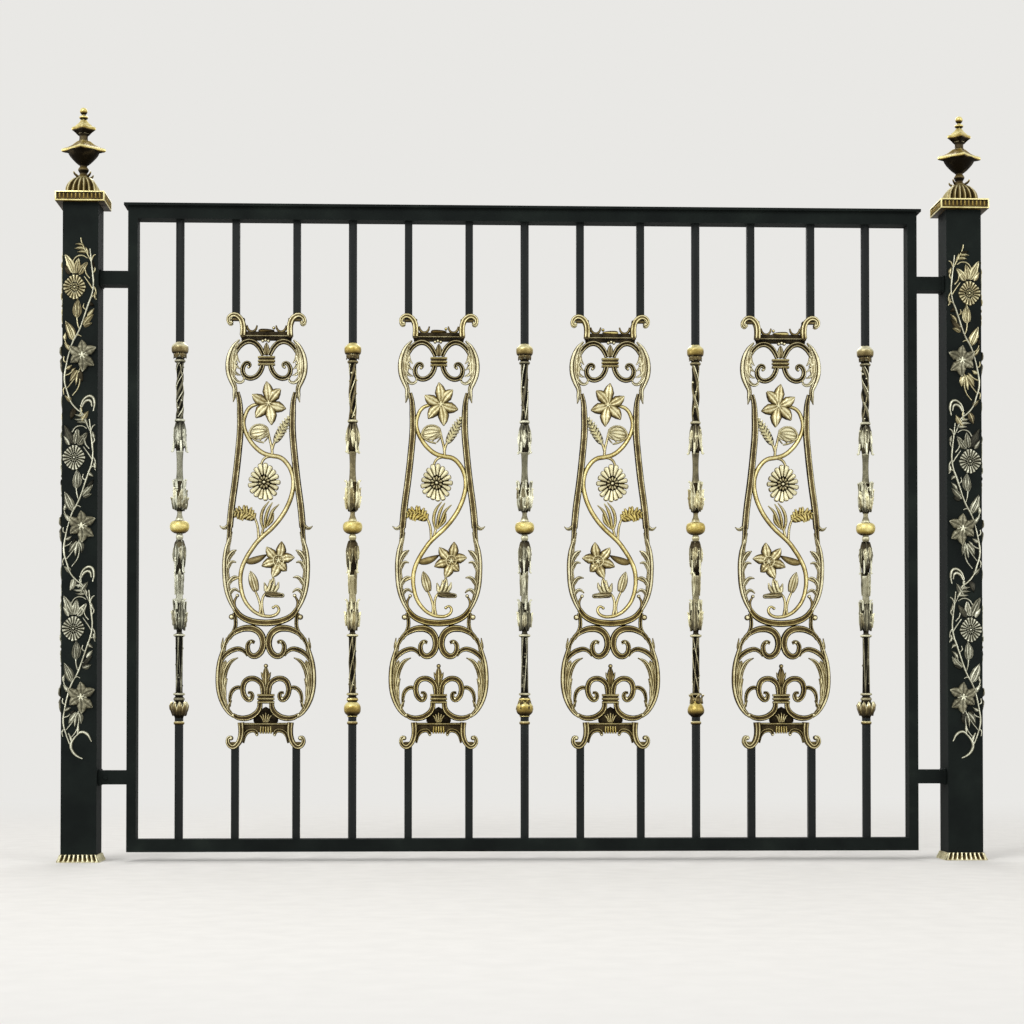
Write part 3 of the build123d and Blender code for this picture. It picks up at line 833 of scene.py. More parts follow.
# %% Vine strokes
STEM = [
    (-6, 553), (-15, 551), (-27, 545), (-34, 532), (-36.2, 521), (-34, 509), (-27.4, 495), (-17.3, 482),
    (-3.8, 472), (8.5, 468.5), (22, 465.7), (33, 456), (41, 440.5), (43.3, 425), (41, 408), (34.3, 389),
    (25.4, 373), (9.6, 353.4), (-5, 340), (-14, 331), (-23, 318.7), (-32, 304), (-38.6, 288), (-40.8, 272.7),
    (-39.7, 257), (-35, 240), (-26.3, 226.7), (-14, 216.6), (1.8, 212), (13, 213.5), (19.5, 219), (20, 225),
    (15.9, 228.5), (11.5, 226)]
TWIGS = [
    [(9, 468), (-1.6, 465), (-7.2, 457), (-8.3, 448)], [(9.6, 468), (8.5, 481), (5.2, 495), (2.5, 508)],
    [(9, 478), (12, 487.6), (17, 496)], [(-12, 333), (-12.5, 345), (-14, 357), (-19, 371)], [(-8, 337),
    (-6.5, 345), (-4, 354.5)], [(-10, 215), (-9, 227), (-12, 240), (-17, 252)], [(-4, 213), (-6.5, 229),
    (-5, 242), (0, 250)], [(0, 250), (6, 262), (12, 274)], [(-39.5, 275), (-46, 273), (-54, 269)], [(42, 440),
    (46, 441), (50, 441)], [(-36, 521), (-39, 522), (-42, 523)]]
TULIP = [
    [(-5, 351), (-8, 366), (-5, 382), (4.8, 396)], [(-3, 352), (-1, 368), (3, 382), (10, 394)], [(-1, 353),
    (5, 367), (10, 380), (20.5, 391)], [(2, 356), (9, 365), (12, 377)]]
SHELL_RIM = [
    (2, 511), (-4, 516.5), (-12, 518), (-20, 515.5), (-25.5, 509), (-27, 501.5), (-22, 496.5), (-13, 491.5),
    (-4, 489.5)]
SHELL_RIBS = [
    [(2, 509), (-10, 511), (-22, 510)], [(2, 508), (-11, 506), (-25, 503)], [(2, 507), (-9, 501), (-19, 496)],
    [(3, 505), (-5, 498), (-11, 492)], [(4, 502), (1, 496), (-3, 491)]]
CUP = [
    [(3, 252), (6, 262), (6.5, 271)], [(8, 250), (12, 261), (13, 272)], [(13, 250), (18, 259), (20, 267)],
    [(-1, 252), (-1, 259), (-3, 266)]]
CUP_RIM = [(-1, 250), (8, 251), (20, 249), (28, 245), (20, 243), (8, 244), (-1, 248)]
FERN = [(13, 489), (20, 501), (28, 515), (37, 531)]
SIDE_LEAF = [(-17, 369), (-27, 376), (-38, 379), (-52, 376)]
LILY_TIPS = [(0, 587), (22.5, 575), (31, 544), (7.8, 518), (-17, 529), (-22.5, 566)]
LOW_LILY_TIPS = [(24.7, 331.5), (0.9, 322.7), (-7, 291.8), (9.7, 274), (32.7, 284.5), (45, 306)]
LOW_LILY = (20, 301)


# %% Panel vine, buds and flowers
def panel_leaves(drawing):
    """The leaves and buds that grow on the vine."""
    shell = leaf((4, 509), (-26, 503), 22, ribs=5, rise=3.2, foot=0.4, point=0.5, widest=0.55, columns=14)
    add_to(drawing, shell, 0.15, 0.4)
    add_to(drawing, sweep([(SHELL_RIM, [1.7, 1.8, 1.8, 1.5])], thick=2.4), 0.15, 0.5)
    add_to(drawing, sweep(same_widths(SHELL_RIBS, [1, 1.1, 1]), steps=3, thick=3.4), 0.15, 0.44)
    add_to(drawing, leaf(FERN[0], FERN[-1], 13, ribs=1, rise=2.2))
    add_to(drawing, sweep(fingers(FERN, 8, (11, 10.5), 2.4, 0.9), "spear", steps=3, thick=2), 0.05, 0.85)
    add_to(drawing, leaf(SIDE_LEAF[0], SIDE_LEAF[-1], 17, ribs=1, rise=2.4, bend=-3), 0.9, 0.02)
    add_to(drawing, sweep(fingers(SIDE_LEAF, 8, (15, 12), 2.7, 0.35), "spear", steps=3, thick=1.6), 1.0, 0.54)
    add_to(drawing, sweep(same_widths(TULIP, [1.6, 2.8, 2.6, 0.8]), "spear", thick=1.6), 0.6, 0.5)
    add_to(drawing, leaf((-32, 298), (2, 311), 11, ribs=1, rise=3.6, bend=-2), 0.4, 0.2)
    add_to(drawing, leaf((-16, 252), (-25, 285), 14, ribs=3, rise=4.6, foot=0.6, widest=0.5), 0.1, 0.2)
    add_to(drawing, leaf((-2, 247.5), (29, 246), 9, ribs=1, rise=3.4, point=0.5, foot=0.5), 0, 0.1)
    add_to(drawing, sweep([(CUP_RIM, [1.2, 1.4, 1.2])], thick=3), 0.1, 0.2)
    add_to(drawing, sweep(same_widths(CUP, [2.6, 3.2, 1.0]), "spear", thick=1.3), 0.1, 0.55)
    add_to(drawing, bead(11.5, 226, 2.6, 4.2, 10), 0.8, 0.1)


def panel_vine(drawing):
    """The S-shaped vine with what grows on it."""
    add_to(drawing, sweep([(STEM, [2.6, 3.3, 3.7, 3.6, 3.7, 3.6, 3.3, 2.6, 1.8])]), 0.75, 0.3)
    add_to(drawing, sweep(same_widths(TWIGS, [2.3, 1.9])), 0.45, 0.28)
    panel_leaves(drawing)
    sunflower(drawing, -3.4, 426, 25, 30, 17, 4.6, 0.1, 0.46)
    star_flower(drawing, 3.5, 552, LILY_TIPS, 9.2, 4.6, 0.25, 0.1)
    star_flower(drawing, *LOW_LILY, LOW_LILY_TIPS, 8.4, 4.4, 0.25, 0.06)
    ring = [around(8.4, angle, *LOW_LILY) for angle in np.linspace(0.3, 6.2, 9)]
    throat = sweep([(ring, [1.7, 1.9, 1.4])], thick=1.4)
    add_to(drawing, both_faces(moved(throat, z=3.6)), 0.25, 0.14)
    add_to(drawing, bead(*LOW_LILY, 7.5, 4.2, 14), 0, -0.6)


# %% Four panels
WARMTH = {1: 0.6, 2: 1.0, 3: 0.95, 4: 0.8}
PANEL_DEPTH = 5
# The drawing's foot lies a little under the lowest point of the casting
PANEL_BASE = middle_of("scroll_panel_1")[2] - 2.9


def stood_up(part, x=0.0, y=0.0, level=0.0):
    """A part drawn flat, stood up at a place of the grille."""
    stand_up = Matrix.Translation((x, y, level)) @ Matrix.Rotation(math.radians(90), 4, "X")
    bmesh.ops.transform(part, matrix=stand_up, verts=part.verts)
    return part


def change_gold(drawing, change):
    """Gives every vertex a new gold value, worked out from its old one."""
    warm = drawing.verts.layers.float["gold"]
    for vert in drawing.verts:
        vert[warm] = change(vert[warm])


def scroll_panel(number):
    """One panel stood up at its node; the right-hand ones are mirror images."""
    drawing = new_drawing()
    for draw in (panel_border, panel_bodies, panel_head, panel_foot, panel_clasps, panel_vine):
        draw(drawing)
    change_gold(drawing, lambda gold: gold * WARMTH[number])
    if number > 2:
        mirrored(drawing)
    stood_up(drawing, middle_of(f"panel_bars_{number}")[0], level=PANEL_BASE)

    # Proud parts take more of the dry brush; faces turned sideways get painted shade
    def proud_with_painted_side_shade(place, normal):
        return -0.35 + 0.5 * np.clip(np.abs(place[:, 1]) / PANEL_DEPTH, 0, 1) + 0.85 * normal[:, 1] ** 2

    finish_piece(drawing, f"cast_scroll_panel_{number}", bronze, [f"scroll_panel_{number}"], proud_with_painted_side_shade)


for number in range(1, 5):
    scroll_panel(number)

# %% [markdown]
# ## Turned balusters
#
# Each baluster carries a long casting: a shaft wound with leafy strands, bulges clad in leaves,
# slim vases with spurs at their rims, and one gold knop. Each length of the core is a profile spun
# round the axis. Leaves are grids bent round the core, and the strands are helices swept as curves.

# %% Turned core
def spun(profile, segments=20):
    """A closed shape from a profile of (radius, level), spun round the vertical axis."""
    bm = bmesh.new()
    line = [(0, profile[0][1])] + profile + [(0, profile[-1][1])]
    verts = [bm.verts.new((radius, 0, level)) for radius, level in line]
    edges = [bm.edges.new(pair) for pair in zip(verts, verts[1:])]
    bmesh.ops.spin(bm, geom=verts + edges, axis=(0, 0, 1), cent=(0, 0, 0), angle=2 * math.pi, steps=segments,
                   use_merge=True)
    return welded(bm)


def smooth_profile(points, foot=0.0, steps=3):
    """More points between those given, on a smooth line through them, raised by foot."""
    line = []
    last = len(points) - 1
    for number in range(last):
        before, here, ahead, after = (Vector(points[min(max(number + k, 0), last)]) for k in (-1, 0, 1, 2))
        for step in range(steps):
            s = step / steps
            bent = 2 * before - 5 * here + 4 * ahead - after
            turned = 3 * here - before - 3 * ahead + after
            line.append(tuple(0.5 * (2 * here + (ahead - before) * s + bent * s ** 2 + turned * s ** 3)))
    return [(radius, foot + level) for radius, level in line + [points[last]]]


# %% Wrapped leaves and strands
LEAF_THICKNESS = 1.2
LEAF_ROUGHNESS = 0.38


def wrapped_leaf(angle, foot, head, radii, width, lobes=0, ribs=1, lift=1.6, rows=8, columns=4):
    """A leaf laid on a core. radii are its distances from the axis, from foot to head."""
    bm = bmesh.new()
    for vert, s, t in grid_places(bm, rows, columns):
        core = value_at(radii, s)
        outline = lobed(0.35 * (1 - s) + max(math.sin(math.pi * s ** 0.75), 0) ** 0.7, lobes, s)
        radius = core + lift * (1 - t * t) * (0.55 + 0.45 * math.cos(math.pi * ribs * t))
        vert.co = (*around(radius, angle + t * width / 2 * outline / core), foot + s * (head - foot))
    outward(bm)
    bmesh.ops.solidify(bm, geom=bm.faces[:], thickness=LEAF_THICKNESS)
    return outward(bm)


def roughened(part, amount):
    """The same part with an uneven cast surface."""
    for vert in part.verts:
        vert.co += Vector((random.uniform(-1, 1), random.uniform(-1, 1), random.uniform(-1, 1))) * amount
    return part


def leaf_ring(drawing, count, foot, head, radii, width, gold=0.1, brush=0.1, phase=0.0, loose=0.0, **shape):
    """A ring of leaves round a core, each a little off its place if loose."""
    for number in range(count):
        angle = 2 * math.pi * (number + phase + random.uniform(-loose, loose)) / count
        shift = random.uniform(-6, 6) * loose
        blank = wrapped_leaf(angle, foot + shift, head + shift, radii, width, **shape)
        add_to(drawing, roughened(blank, LEAF_ROUGHNESS), gold, brush + random.uniform(-0.4, 0.4) * loose)


def strands(drawing, foot, head, radius, half, turns, count, gold, brush):
    """Strands wound round a shaft; negative turns wind the other way."""
    steps = int(abs(turns) * 8) + 2
    shares = [step / steps for step in range(steps + 1)]
    lines = []
    for number in range(count):
        start = 2 * math.pi * (number + 0.25) / count
        lines.append([(*around(radius, start + 2 * math.pi * turns * share), foot + (head - foot) * share)
                      for share in shares])
    widths = [half, half * 0.6, half, half * 0.5, half]
    add_to(drawing, sweep(same_widths(lines, widths), flat=False, steps=3), gold, brush)


def curls(drawing, line, half, brush, phase=0.0, count=4):
    """Curled leaf tips round the core. The line is (radius, level) from root to tip."""
    angles = [2 * math.pi * (number + phase) / count for number in range(count)]
    lines = [[(*around(radius, angle), level) for radius, level in line] for angle in angles]
    widths = [half * share for share in (1.3, 1, 0.8, 0.6)]
    add_to(drawing, sweep(same_widths(lines, widths), flat=False, steps=3), 0, brush)


def berries(drawing, count, radius, low, high, gold=0.1, brush=0.35):
    """Small round knobs scattered over a bulge."""
    for number in range(count):
        angle = random.uniform(0, 2 * math.pi)
        size = random.uniform(1.2, 2.1)
        knob = bead(*around(radius, angle), size, size, 8)
        add_to(drawing, moved(knob, z=random.uniform(low, high)), gold, brush)


# %% Profiles of the baluster casting
# Radius and level in millimetres of each length of the core, then its gold and brush
CORES = {
    "foot_rings": ([(8.4, 255), (9.1, 257), (8.4, 259), (6.6, 260.5), (6.4, 262.5), (9, 263.6), (9.4, 265),
        (8.8, 266.4), (6.2, 267.4)], 0.15, 0.14),
    "lower_shaft": ([(5.6, 266), (5.4, 310), (5.6, 357)], 0.1, -0.3),
    "lower_ring": ([(6.2, 356), (9, 357.4), (9.4, 358.8), (8.8, 360.2), (5.4, 361.4), (4.4, 363)], 0.1, 0.2),
    "lower_bulge": ([(4.2, 361), (4.6, 367), (6.4, 370), (8, 376), (8.6, 384), (8, 393), (7, 402), (6, 410)],
        0.15, 0.02),
    "lower_neck": ([(6, 408), (5.5, 420), (5.4, 436), (5.8, 447), (6.4, 455)], 0.0, 0.58),
    "lower_vase": ([(5.2, 453), (6, 462), (7, 474), (8.2, 488), (8.8, 498), (8.2, 505), (6, 509), (4.8, 511)],
        0.3, 0.06),
    "bead_neck": ([(4.4, 509), (5.6, 513), (6, 516.5), (5, 519), (4.2, 521.5)], 0.1, 0.6),
    "knop": ([(5, 520.5), (9, 521.6), (13.6, 525), (15.4, 530), (15.3, 534.5), (13.4, 538.6), (9.4, 540.8),
        (7, 541.4)], 1.0, 0.1),
    "cone": ([(7, 541), (6.4, 544), (4.4, 549), (3.8, 554), (4.8, 558)], 0.1, 0.56),
    "upper_vase": ([(4.6, 556), (6.6, 560), (8.6, 565), (9.4, 572), (9, 582), (8, 592), (7, 600), (6, 606)],
        0.45, 0.06),
    "silver_neck": ([(6.4, 604), (5.6, 610), (5, 620), (4.9, 632), (5.3, 644), (6, 652)], 0.0, 0.5),
    "cluster": ([(5, 648), (6.8, 658), (8, 668), (7.8, 680), (6.6, 690), (5.4, 698)], 0.2, 0.08),
    "upper_ring": ([(5.4, 697), (7.9, 699.4), (8.4, 701), (7.9, 702.8), (5.4, 704.6)], 0.0, 0.32),
    "upper_shaft": ([(5.6, 703), (5, 725), (4.8, 750), (5.2, 775), (5.6, 795)], 0.1, -0.3),
    "top_rings": ([(5.8, 793), (8.4, 794.6), (8.7, 797), (6.8, 798.8), (6.6, 800), (8.8, 802), (9, 804.4),
        (8, 807)], 0.1, 0.12),
}
# Turns of the strands round the upper and lower shaft, and what each casting adds to brush and gold
UPPER_TURNS = {1: 1.2, 2: 0.7, 3: 0.35, 4: 0.7, 5: 1.1}
LOWER_TURNS = {1: 0.12, 2: 0.6, 3: 0.2, 4: 0.55, 5: 0.1}
SILVER_CASTING = {1: 0.04, 2: 0.0, 3: 0.02, 4: -0.02, 5: 0.03}
GOLD_CASTING = {1: 0.02, 2: 0.36, 3: 0.12, 4: 0.3, 5: 0.16}
FLUTED = {"lobes": 3, "ribs": 2, "rows": 10, "columns": 6}


# %% Leaves, strands and berries of a casting
def clad_shafts(drawing, number):
    """The strands of both shafts: broad and leafy above, thin long lines below."""
    turns = UPPER_TURNS[number]
    strands(drawing, 703, 795, 4.6, 2.2, turns, 3, 0.1, 0.3)
    strands(drawing, 706, 793, 5.2, 0.9, 1.3 * turns, 2, 0.1, 0.34)
    strands(drawing, 712, 790, 5.2, 0.8, -0.4, 2, 0.2, 0.2)
    berries(drawing, 7, 5.6, 708, 790, 0.05, 0.3)
    strands(drawing, 267, 356, 5.2, 1.0, LOWER_TURNS[number], 4, 0.05, 0.26)
    strands(drawing, 268, 355, 5.2, 0.7, -0.16, 4, 0.05, 0.16)
    berries(drawing, 8, 5, 274, 350, 0.05, 0.16)


def clad_upper_half(drawing):
    """The leaves and spurs of the cluster and of the vase over the knop."""
    leaf_ring(drawing, 4, 698, 656, [5.8, 8.6, 9.4, 8.8, 9], 9.5, 0.0, 0.14, loose=0.15, **FLUTED)
    leaf_ring(drawing, 4, 688, 660, [8, 10, 10.4, 8.4], 6, 0.0, 0.1, 0.5, 0.25, lobes=2)
    curls(drawing, [(8.2, 668), (10.2, 658), (12.2, 651), (13.6, 653)], 1.7, 0.35)
    berries(drawing, 9, 9.2, 664, 690)
    leaf_ring(drawing, 4, 558, 604, [6.2, 9.6, 9.8, 8.8, 8.4], 10, 0.0, 0.12, 0.25, 0.1, **FLUTED)
    leaf_ring(drawing, 6, 562, 580, [8.4, 10.4, 10.6], 5.5, 0.2, 0.0, loose=0.4, lobes=2)
    leaf_ring(drawing, 5, 576, 592, [9.8, 10.4, 9.6], 5, 0.2, 0.0, loose=0.4, lobes=2)
    curls(drawing, [(8.6, 592), (9, 600), (11.4, 606), (13.4, 605)], 1.8, 0.35, 0.5)
    berries(drawing, 11, 9.8, 563, 597)


def clad_lower_half(drawing):
    """The leaves and spurs of the vase under the knop and of the bulge."""
    leaf_ring(drawing, 5, 510, 468, [5.4, 9.4, 9.2, 7.6], 8.6, 0.0, 0.08, loose=0.15, **FLUTED)
    leaf_ring(drawing, 5, 500, 478, [8.8, 10.4, 9.2], 5.5, 0.15, 0.0, 0.5, 0.4, lobes=2)
    curls(drawing, [(8, 480), (8.6, 468), (9.8, 459), (11, 460)], 1.4, 0.26, 0.3)
    berries(drawing, 7, 9.2, 476, 500, 0.1, 0.25)
    leaf_ring(drawing, 4, 462, 424, [6.6, 6.6, 6.2, 5.8], 5, 0.05, 0.34, loose=0.3, lobes=3)
    leaf_ring(drawing, 4, 367, 412, [6.2, 8.8, 8.4, 6.6], 9.4, 0.0, 0.06, loose=0.15, **FLUTED)
    leaf_ring(drawing, 4, 374, 396, [8, 9.8, 9.4], 5.5, 0.15, 0.06, 0.5, 0.3, lobes=2)
    curls(drawing, [(7.2, 400), (8.2, 409), (10.4, 416), (12.2, 415)], 1.6, 0.32, 0.5)
    berries(drawing, 6, 8.6, 374, 400, 0.1, 0.25)


# %% Baluster castings
TURN_OF_NEXT = 18
CORE_RADIUS = 5
CLADDING_DEPTH = 7


def baluster_casting(number):
    """One casting at its node, turned a little from its neighbours."""
    node = f"baluster_{number}_casting"
    x = middle_of(node)[0]
    drawing = new_drawing()
    for profile, gold, brush in CORES.values():
        add_to(drawing, spun(smooth_profile(profile)), gold, brush + SILVER_CASTING[number])
    clad_shafts(drawing, number)
    clad_upper_half(drawing)
    clad_lower_half(drawing)
    change_gold(drawing, lambda gold: min(gold + GOLD_CASTING[number], 1))
    if number > 3:
        mirrored(drawing)
    moved(turned(drawing, TURN_OF_NEXT * number), x)

    def outermost(place, normal):
        return np.clip((np.hypot(place[:, 0] - x, place[:, 1]) - CORE_RADIUS) / CLADDING_DEPTH, 0.1, 0.9)

    # Undersides of the knop, vases and bulges get painted shade
    finish_piece(drawing, f"leafy_baluster_{number}", pewter, [node], outermost, underside_shade=0.35)


for number in range(1, 6):
    baluster_casting(number)

# %% [markdown]
# ## Ball collars
#
# A collar hides each joint between a bar and a casting. The upper ones are cream and gold balls. Of
# the lower ones, the outer two are pleated baskets, and the others a plain ball, a ball with leaf
# marks and an onion.

# %% Ball collars
BALL = [
    (6.5, 228), (8.5, 229.5), (8, 231), (12.2, 235), (13.5, 241), (12.6, 247), (9, 251.5), (7.4, 253),
    (9.4, 255.5), (9, 258)]
ONION = [(6.5, 228), (8.5, 230), (12.6, 234), (13.5, 240), (11, 247), (8, 252), (7, 258)]
BASKET = [(6.5, 226), (7.5, 229), (9.5, 233), (10.5, 239), (8.5, 246), (7.5, 256)]
DROP = [(6.6, 216), (8.4, 217.5), (8.4, 220.5), (6.6, 222)]
UPPER_BALL = [(9, 805), (9.8, 807.5), (12.6, 809.5), (13.6, 815), (12.8, 820), (8.8, 824), (6.8, 826)]
UPPER_GOLD = {1: 0.1, 2: 1.0, 3: 0.5, 4: 0.8, 5: 0.15}


def join(drawing, part, x=0.0):
    """Adds a drawing to another, moved along the sill, with the paint values of its own."""
    layers = part.verts.layers.float
    values = {label: [vert[layers[label]] for vert in part.verts] for label in ("gold", "brush")}
    before = len(drawing.verts)
    add_to(drawing, moved(part, x))
    drawing.verts.ensure_lookup_table()
    for label, kept in values.items():
        layer = drawing.verts.layers.float[label]
        for vert, value in zip(drawing.verts[before:], kept):
            vert[layer] = value


def lower_collar(number):
    """The collar under a casting: a basket, a ball or an onion."""
    part = new_drawing()
    if number in (1, 5):
        add_to(part, spun(smooth_profile(BASKET)), 0.1, -0.4)
        leaf_ring(part, 9, 231, 252, [8.5, 10.6, 12.4, 12.9, 9.6], 8, 0.1, 0.18)
    elif number == 4:
        add_to(part, spun(smooth_profile(ONION), 24), 0.95, 0.26)
        leaf_ring(part, 5, 250, 264, [8.6, 8.4, 8, 9.5], 7, 0.3, 0.1)
    else:
        add_to(part, spun(smooth_profile(BALL), 24), 0.95, 0.28)
        if number == 3:
            leaf_ring(part, 6, 255, 240, [8.8, 10.6, 12.8, 13.4], 6, 0.6, -0.05, lift=0.7)
    add_to(part, spun(smooth_profile(DROP)), 0.4, 0.15)
    return part


def upper_collar(number):
    """The ball over a casting."""
    part = new_drawing()
    add_to(part, spun(smooth_profile(UPPER_BALL), 24), UPPER_GOLD[number], 0.3)
    leaf_ring(part, 6, 810, 800, [9.8, 9.8, 9.6], 7, 0.1, 0.1, lift=0.8)
    return part


rows = {"lower": new_drawing(), "upper": new_drawing()}
for number in range(1, 6):
    x = middle_of(f"baluster_{number}_casting")[0]
    join(rows["lower"], lower_collar(number), x)
    join(rows["upper"], upper_collar(number), x)
for row, drawing in rows.items():
    # Painted light: tops brighter and undersides darker, as light from above falls on them
    finish_piece(drawing, f"ball_collars_{row}", gilding, [f"{row}_collars"],
                 lambda place, normal: 0.5 + 0.4 * normal[:, 2], underside_shade=0.5)

# %% [markdown]
# ## Finials
#
# A finial is a ribbed square dome, a neck and a bowl, and over them stacked square roofs that are
# turned by 45 degrees. Each level of a square shape is a ring of vertices that is extruded, scaled
# and lifted to the next level. The ring isn't quite square: its sides are drawn in a little on the
# roofs, and carry ribs on the dome and the foot collar.

# %% Stacked square castings
def square_ring(pull, ribs, depth, per_side):
    """The places of the vertices of a unit ring, with sides drawn in and ribbed."""
    ring = []
    for side in range(4):
        for step in range(per_side):
            t = step / per_side * 2 - 1
            wave = 1 - depth * (0.5 + 0.5 * math.cos(math.pi * ribs * (t + 1)))
            point = Vector(((1 - pull * (1 - t * t)) * wave, t * (wave if abs(t) > 0.95 else 1)))
            ring.append(Matrix.Rotation(math.radians(90 * side), 2) @ point)
    return ring


def key_of(vert):
    """A vertex's place, rounded so that it can be looked up."""
    return tuple(round(c, 5) for c in vert.co)


def stacked(levels, foot, pull=0.0, ribs=0, depth=0.0, per_side=10, turn=0.0):
    """A casting of square rings. Each level is its half width, height over foot and share of the ribs."""
    bm = bmesh.new()
    ribbed = square_ring(pull, ribs, depth, per_side)
    plain = square_ring(pull, 0, 0, per_side)
    loop = bmesh.ops.create_circle(bm, cap_ends=False, segments=4 * per_side, radius=1)["verts"]
    current = sorted(loop, key=lambda vert: math.atan2(vert.co.y, vert.co.x))
    edges = bm.edges[:]
    rings = []
    for half, height, *share in levels:
        if rings:
            made = bmesh.ops.extrude_edge_only(bm, edges=edges)["geom"]
            edges = [item for item in made if isinstance(item, bmesh.types.BMEdge)]
            fresh = {key_of(item): item for item in made if isinstance(item, bmesh.types.BMVert)}
            current = [fresh[key_of(vert)] for vert in current]
        for vert, wavy, flat in zip(current, ribbed, plain):
            point = flat.lerp(wavy, share[0] if share else 0) * half
            vert.co = (point.x, point.y, foot + height)
        rings.append(current)
    for ring in (rings[0], rings[-1]):
        bmesh.ops.contextual_create(bm, geom=ring)
    return turned(outward(bm), turn)


# %% Finials
DOME = [
    (23, -0.4, 0), (25, 0, 1), (25.4, 3, 1), (25, 8, 1), (23.6, 13, 1), (21, 18, 0.9), (17.5, 22.5, 0.7),
    (14, 26, 0.5), (10, 28, 0)]
NECK = [
    (9.4, 27), (11.2, 29), (9, 31), (6.6, 33.5), (6, 36), (7.4, 38.5), (8.6, 41.5), (7.4, 44.5), (5.8, 46.5),
    (6.2, 49), (8, 51)]
BOWL = [(7, 49), (11, 52), (17, 58), (22, 64), (24.6, 69), (25, 71), (22, 73)]
ROOF_RIM = [(20, 69), (23.6, 70.2), (24.6, 71), (25, 73), (24.6, 75.2), (23.4, 76)]
ROOF = [(18, 72), (23.6, 75.8), (22.4, 76.6), (17.6, 78.4), (12.6, 82), (9, 86), (7.2, 88)]
MIDDLE_NECK = [(7.2, 84), (8.3, 87.5), (7, 89.6), (6.8, 95), (8, 97.6), (8.8, 99.4)]
MIDDLE_UNDER = [(6, 96.5), (9, 101), (12, 104.5), (12.6, 106)]
MIDDLE_ROOF = [
    (12, 104.4), (13.2, 105.6), (13.6, 107), (13.4, 109.6), (12.4, 110.8), (9.6, 112), (8.8, 112.6)]
TENT = [(7.6, 111), (8.8, 112.2), (9, 113.2), (7.6, 114.6), (5.2, 117.6), (3.6, 121), (3, 123)]
DISC = [(3, 121.5), (6, 123.4), (6.9, 125), (6.8, 126.6), (5, 128), (3, 128.6), (2.8, 129.6)]
DOME_CURL = [(7, 29), (14, 31), (18, 34), (19, 36.5)]


def finial(side):
    """Ribbed dome, neck, bowl, roofs, disc and ball."""
    x, y, foot, head = middle_of(f"{side}_finial")
    drawing = new_drawing()
    add_to(drawing, stacked(DOME, foot, 0.0, 6, 0.24, 48), 0.3, 0.22)
    for number in range(4):
        corner = math.radians(90 * number + 45)
        curl = [(*around(radius, corner), foot + z) for radius, z in DOME_CURL]
        add_to(drawing, sweep([(curl, [1.6, 1.9, 1.4, 0.8])], flat=False), 0.3, 0.05)
    # The bowl under the big roof and the middle roof's underside are brushed dark as painted shade
    for profile, gold, brush in ((NECK, 0.3, 0.1), (BOWL, 0.3, -0.8), (MIDDLE_NECK, 0.0, 0.1),
                                 (DISC, 0.9, 0.42)):
        add_to(drawing, spun(smooth_profile(profile, foot), 24), gold, brush)
    for levels, pull, brush in ((ROOF_RIM, 0.1, 0.42), (ROOF, 0.1, 0.22), (MIDDLE_UNDER, 0.08, -0.4),
                                (MIDDLE_ROOF, 0.08, 0.34), (TENT, 0.08, 0.42)):
        add_to(drawing, stacked(levels, foot, pull, turn=45), 0.85, brush)
    add_to(drawing, moved(bead(0, 0, 6, 6, 20), z=head - 6), 1.0, 0.4)
    # Painted light: tops brighter, undersides darkened as painted shade
    finish_piece(moved(drawing, x, y), f"{side}_roofed_finial", gilding, [f"{side}_finial"],
                 lambda place, normal: 0.45 + 0.25 * normal[:, 2], underside_shade=0.9)


for side in ("left", "right"):
    finial(side)

# %% [markdown]
# ## Post caps and foot collars
#
# A cap is a plate with a raised bright border round a sunk, fluted panel on each edge. A block's
# sides are inset and pushed in for the panel, and thin rods stand in it. The collar at a post's
# foot is a low skirt with nine light ribs a side.

# %% Caps
ROD_PITCH = 6.3


def cap_plate(half, height):
    """A square plate with a sunk panel in each edge, its twelve outer edges softened."""
    plate = bmesh.new()
    bmesh.ops.create_cube(plate, size=1)
    bmesh.ops.scale(plate, vec=(2 * half, 2 * half, height), verts=plate.verts)
    plate.normal_update()
    sides = [face for face in plate.faces if abs(face.normal.z) < 0.5]
    for inset, depth in ((3, 0), (0.4, -1.6)):
        bmesh.ops.inset_individual(plate, faces=sides, thickness=inset, depth=depth)
    corners = {vert for vert in plate.verts if min(abs(vert.co.x), abs(vert.co.y)) > half - 0.1}
    outer = [edge for edge in plate.edges if edge.calc_face_angle(0) > 1.2 and corners.issuperset(edge.verts)]
    soften(plate, outer, 0.9)
    return plate


def post_cap(side):
    """The plate between a post and its finial."""
    x, y, foot, head = middle_of(f"{side}_post_cap")
    half = half_width(f"{side}_post_cap")
    middle, tall = (foot + head) / 2, head - foot
    drawing = new_drawing()
    add_to(drawing, moved(cap_plate(half, tall), z=middle), 0.75, 0.28)
    for number in range(4):
        for step in range(-5, 6):
            rod = bar(-1.1, 1.1, 3.6 - tall / 2, tall / 2 - 3.6, 1.2, 0.8)
            stood_up(rod, step * ROD_PITCH, 1.7 - half, middle)
            add_to(drawing, turned(rod, 90 * number), 1.0, -0.26)

    def raised(place, normal):
        out = np.maximum(np.abs(place[:, 0] - x), np.abs(place[:, 1] - y))
        return np.clip(0.5 + (out - half + 1.5) / 2, 0.5, 0.75)

    # The cap's underside is darkened as painted shade
    finish_piece(moved(drawing, x, y), f"{side}_gilded_cap", gilding, [f"{side}_post_cap"], raised, underside_shade=0.9)


# %% Foot collars
SKIRT = [(28, 0, 0), (34, 0.2, 0.2), (34.4, 1.6, 0.3), (33.8, 3.4, 1), (32.4, 6, 1), (31.2, 9, 1),
         (30.6, 11, 0.8), (29.6, 12, 0), (28, 12, 0)]


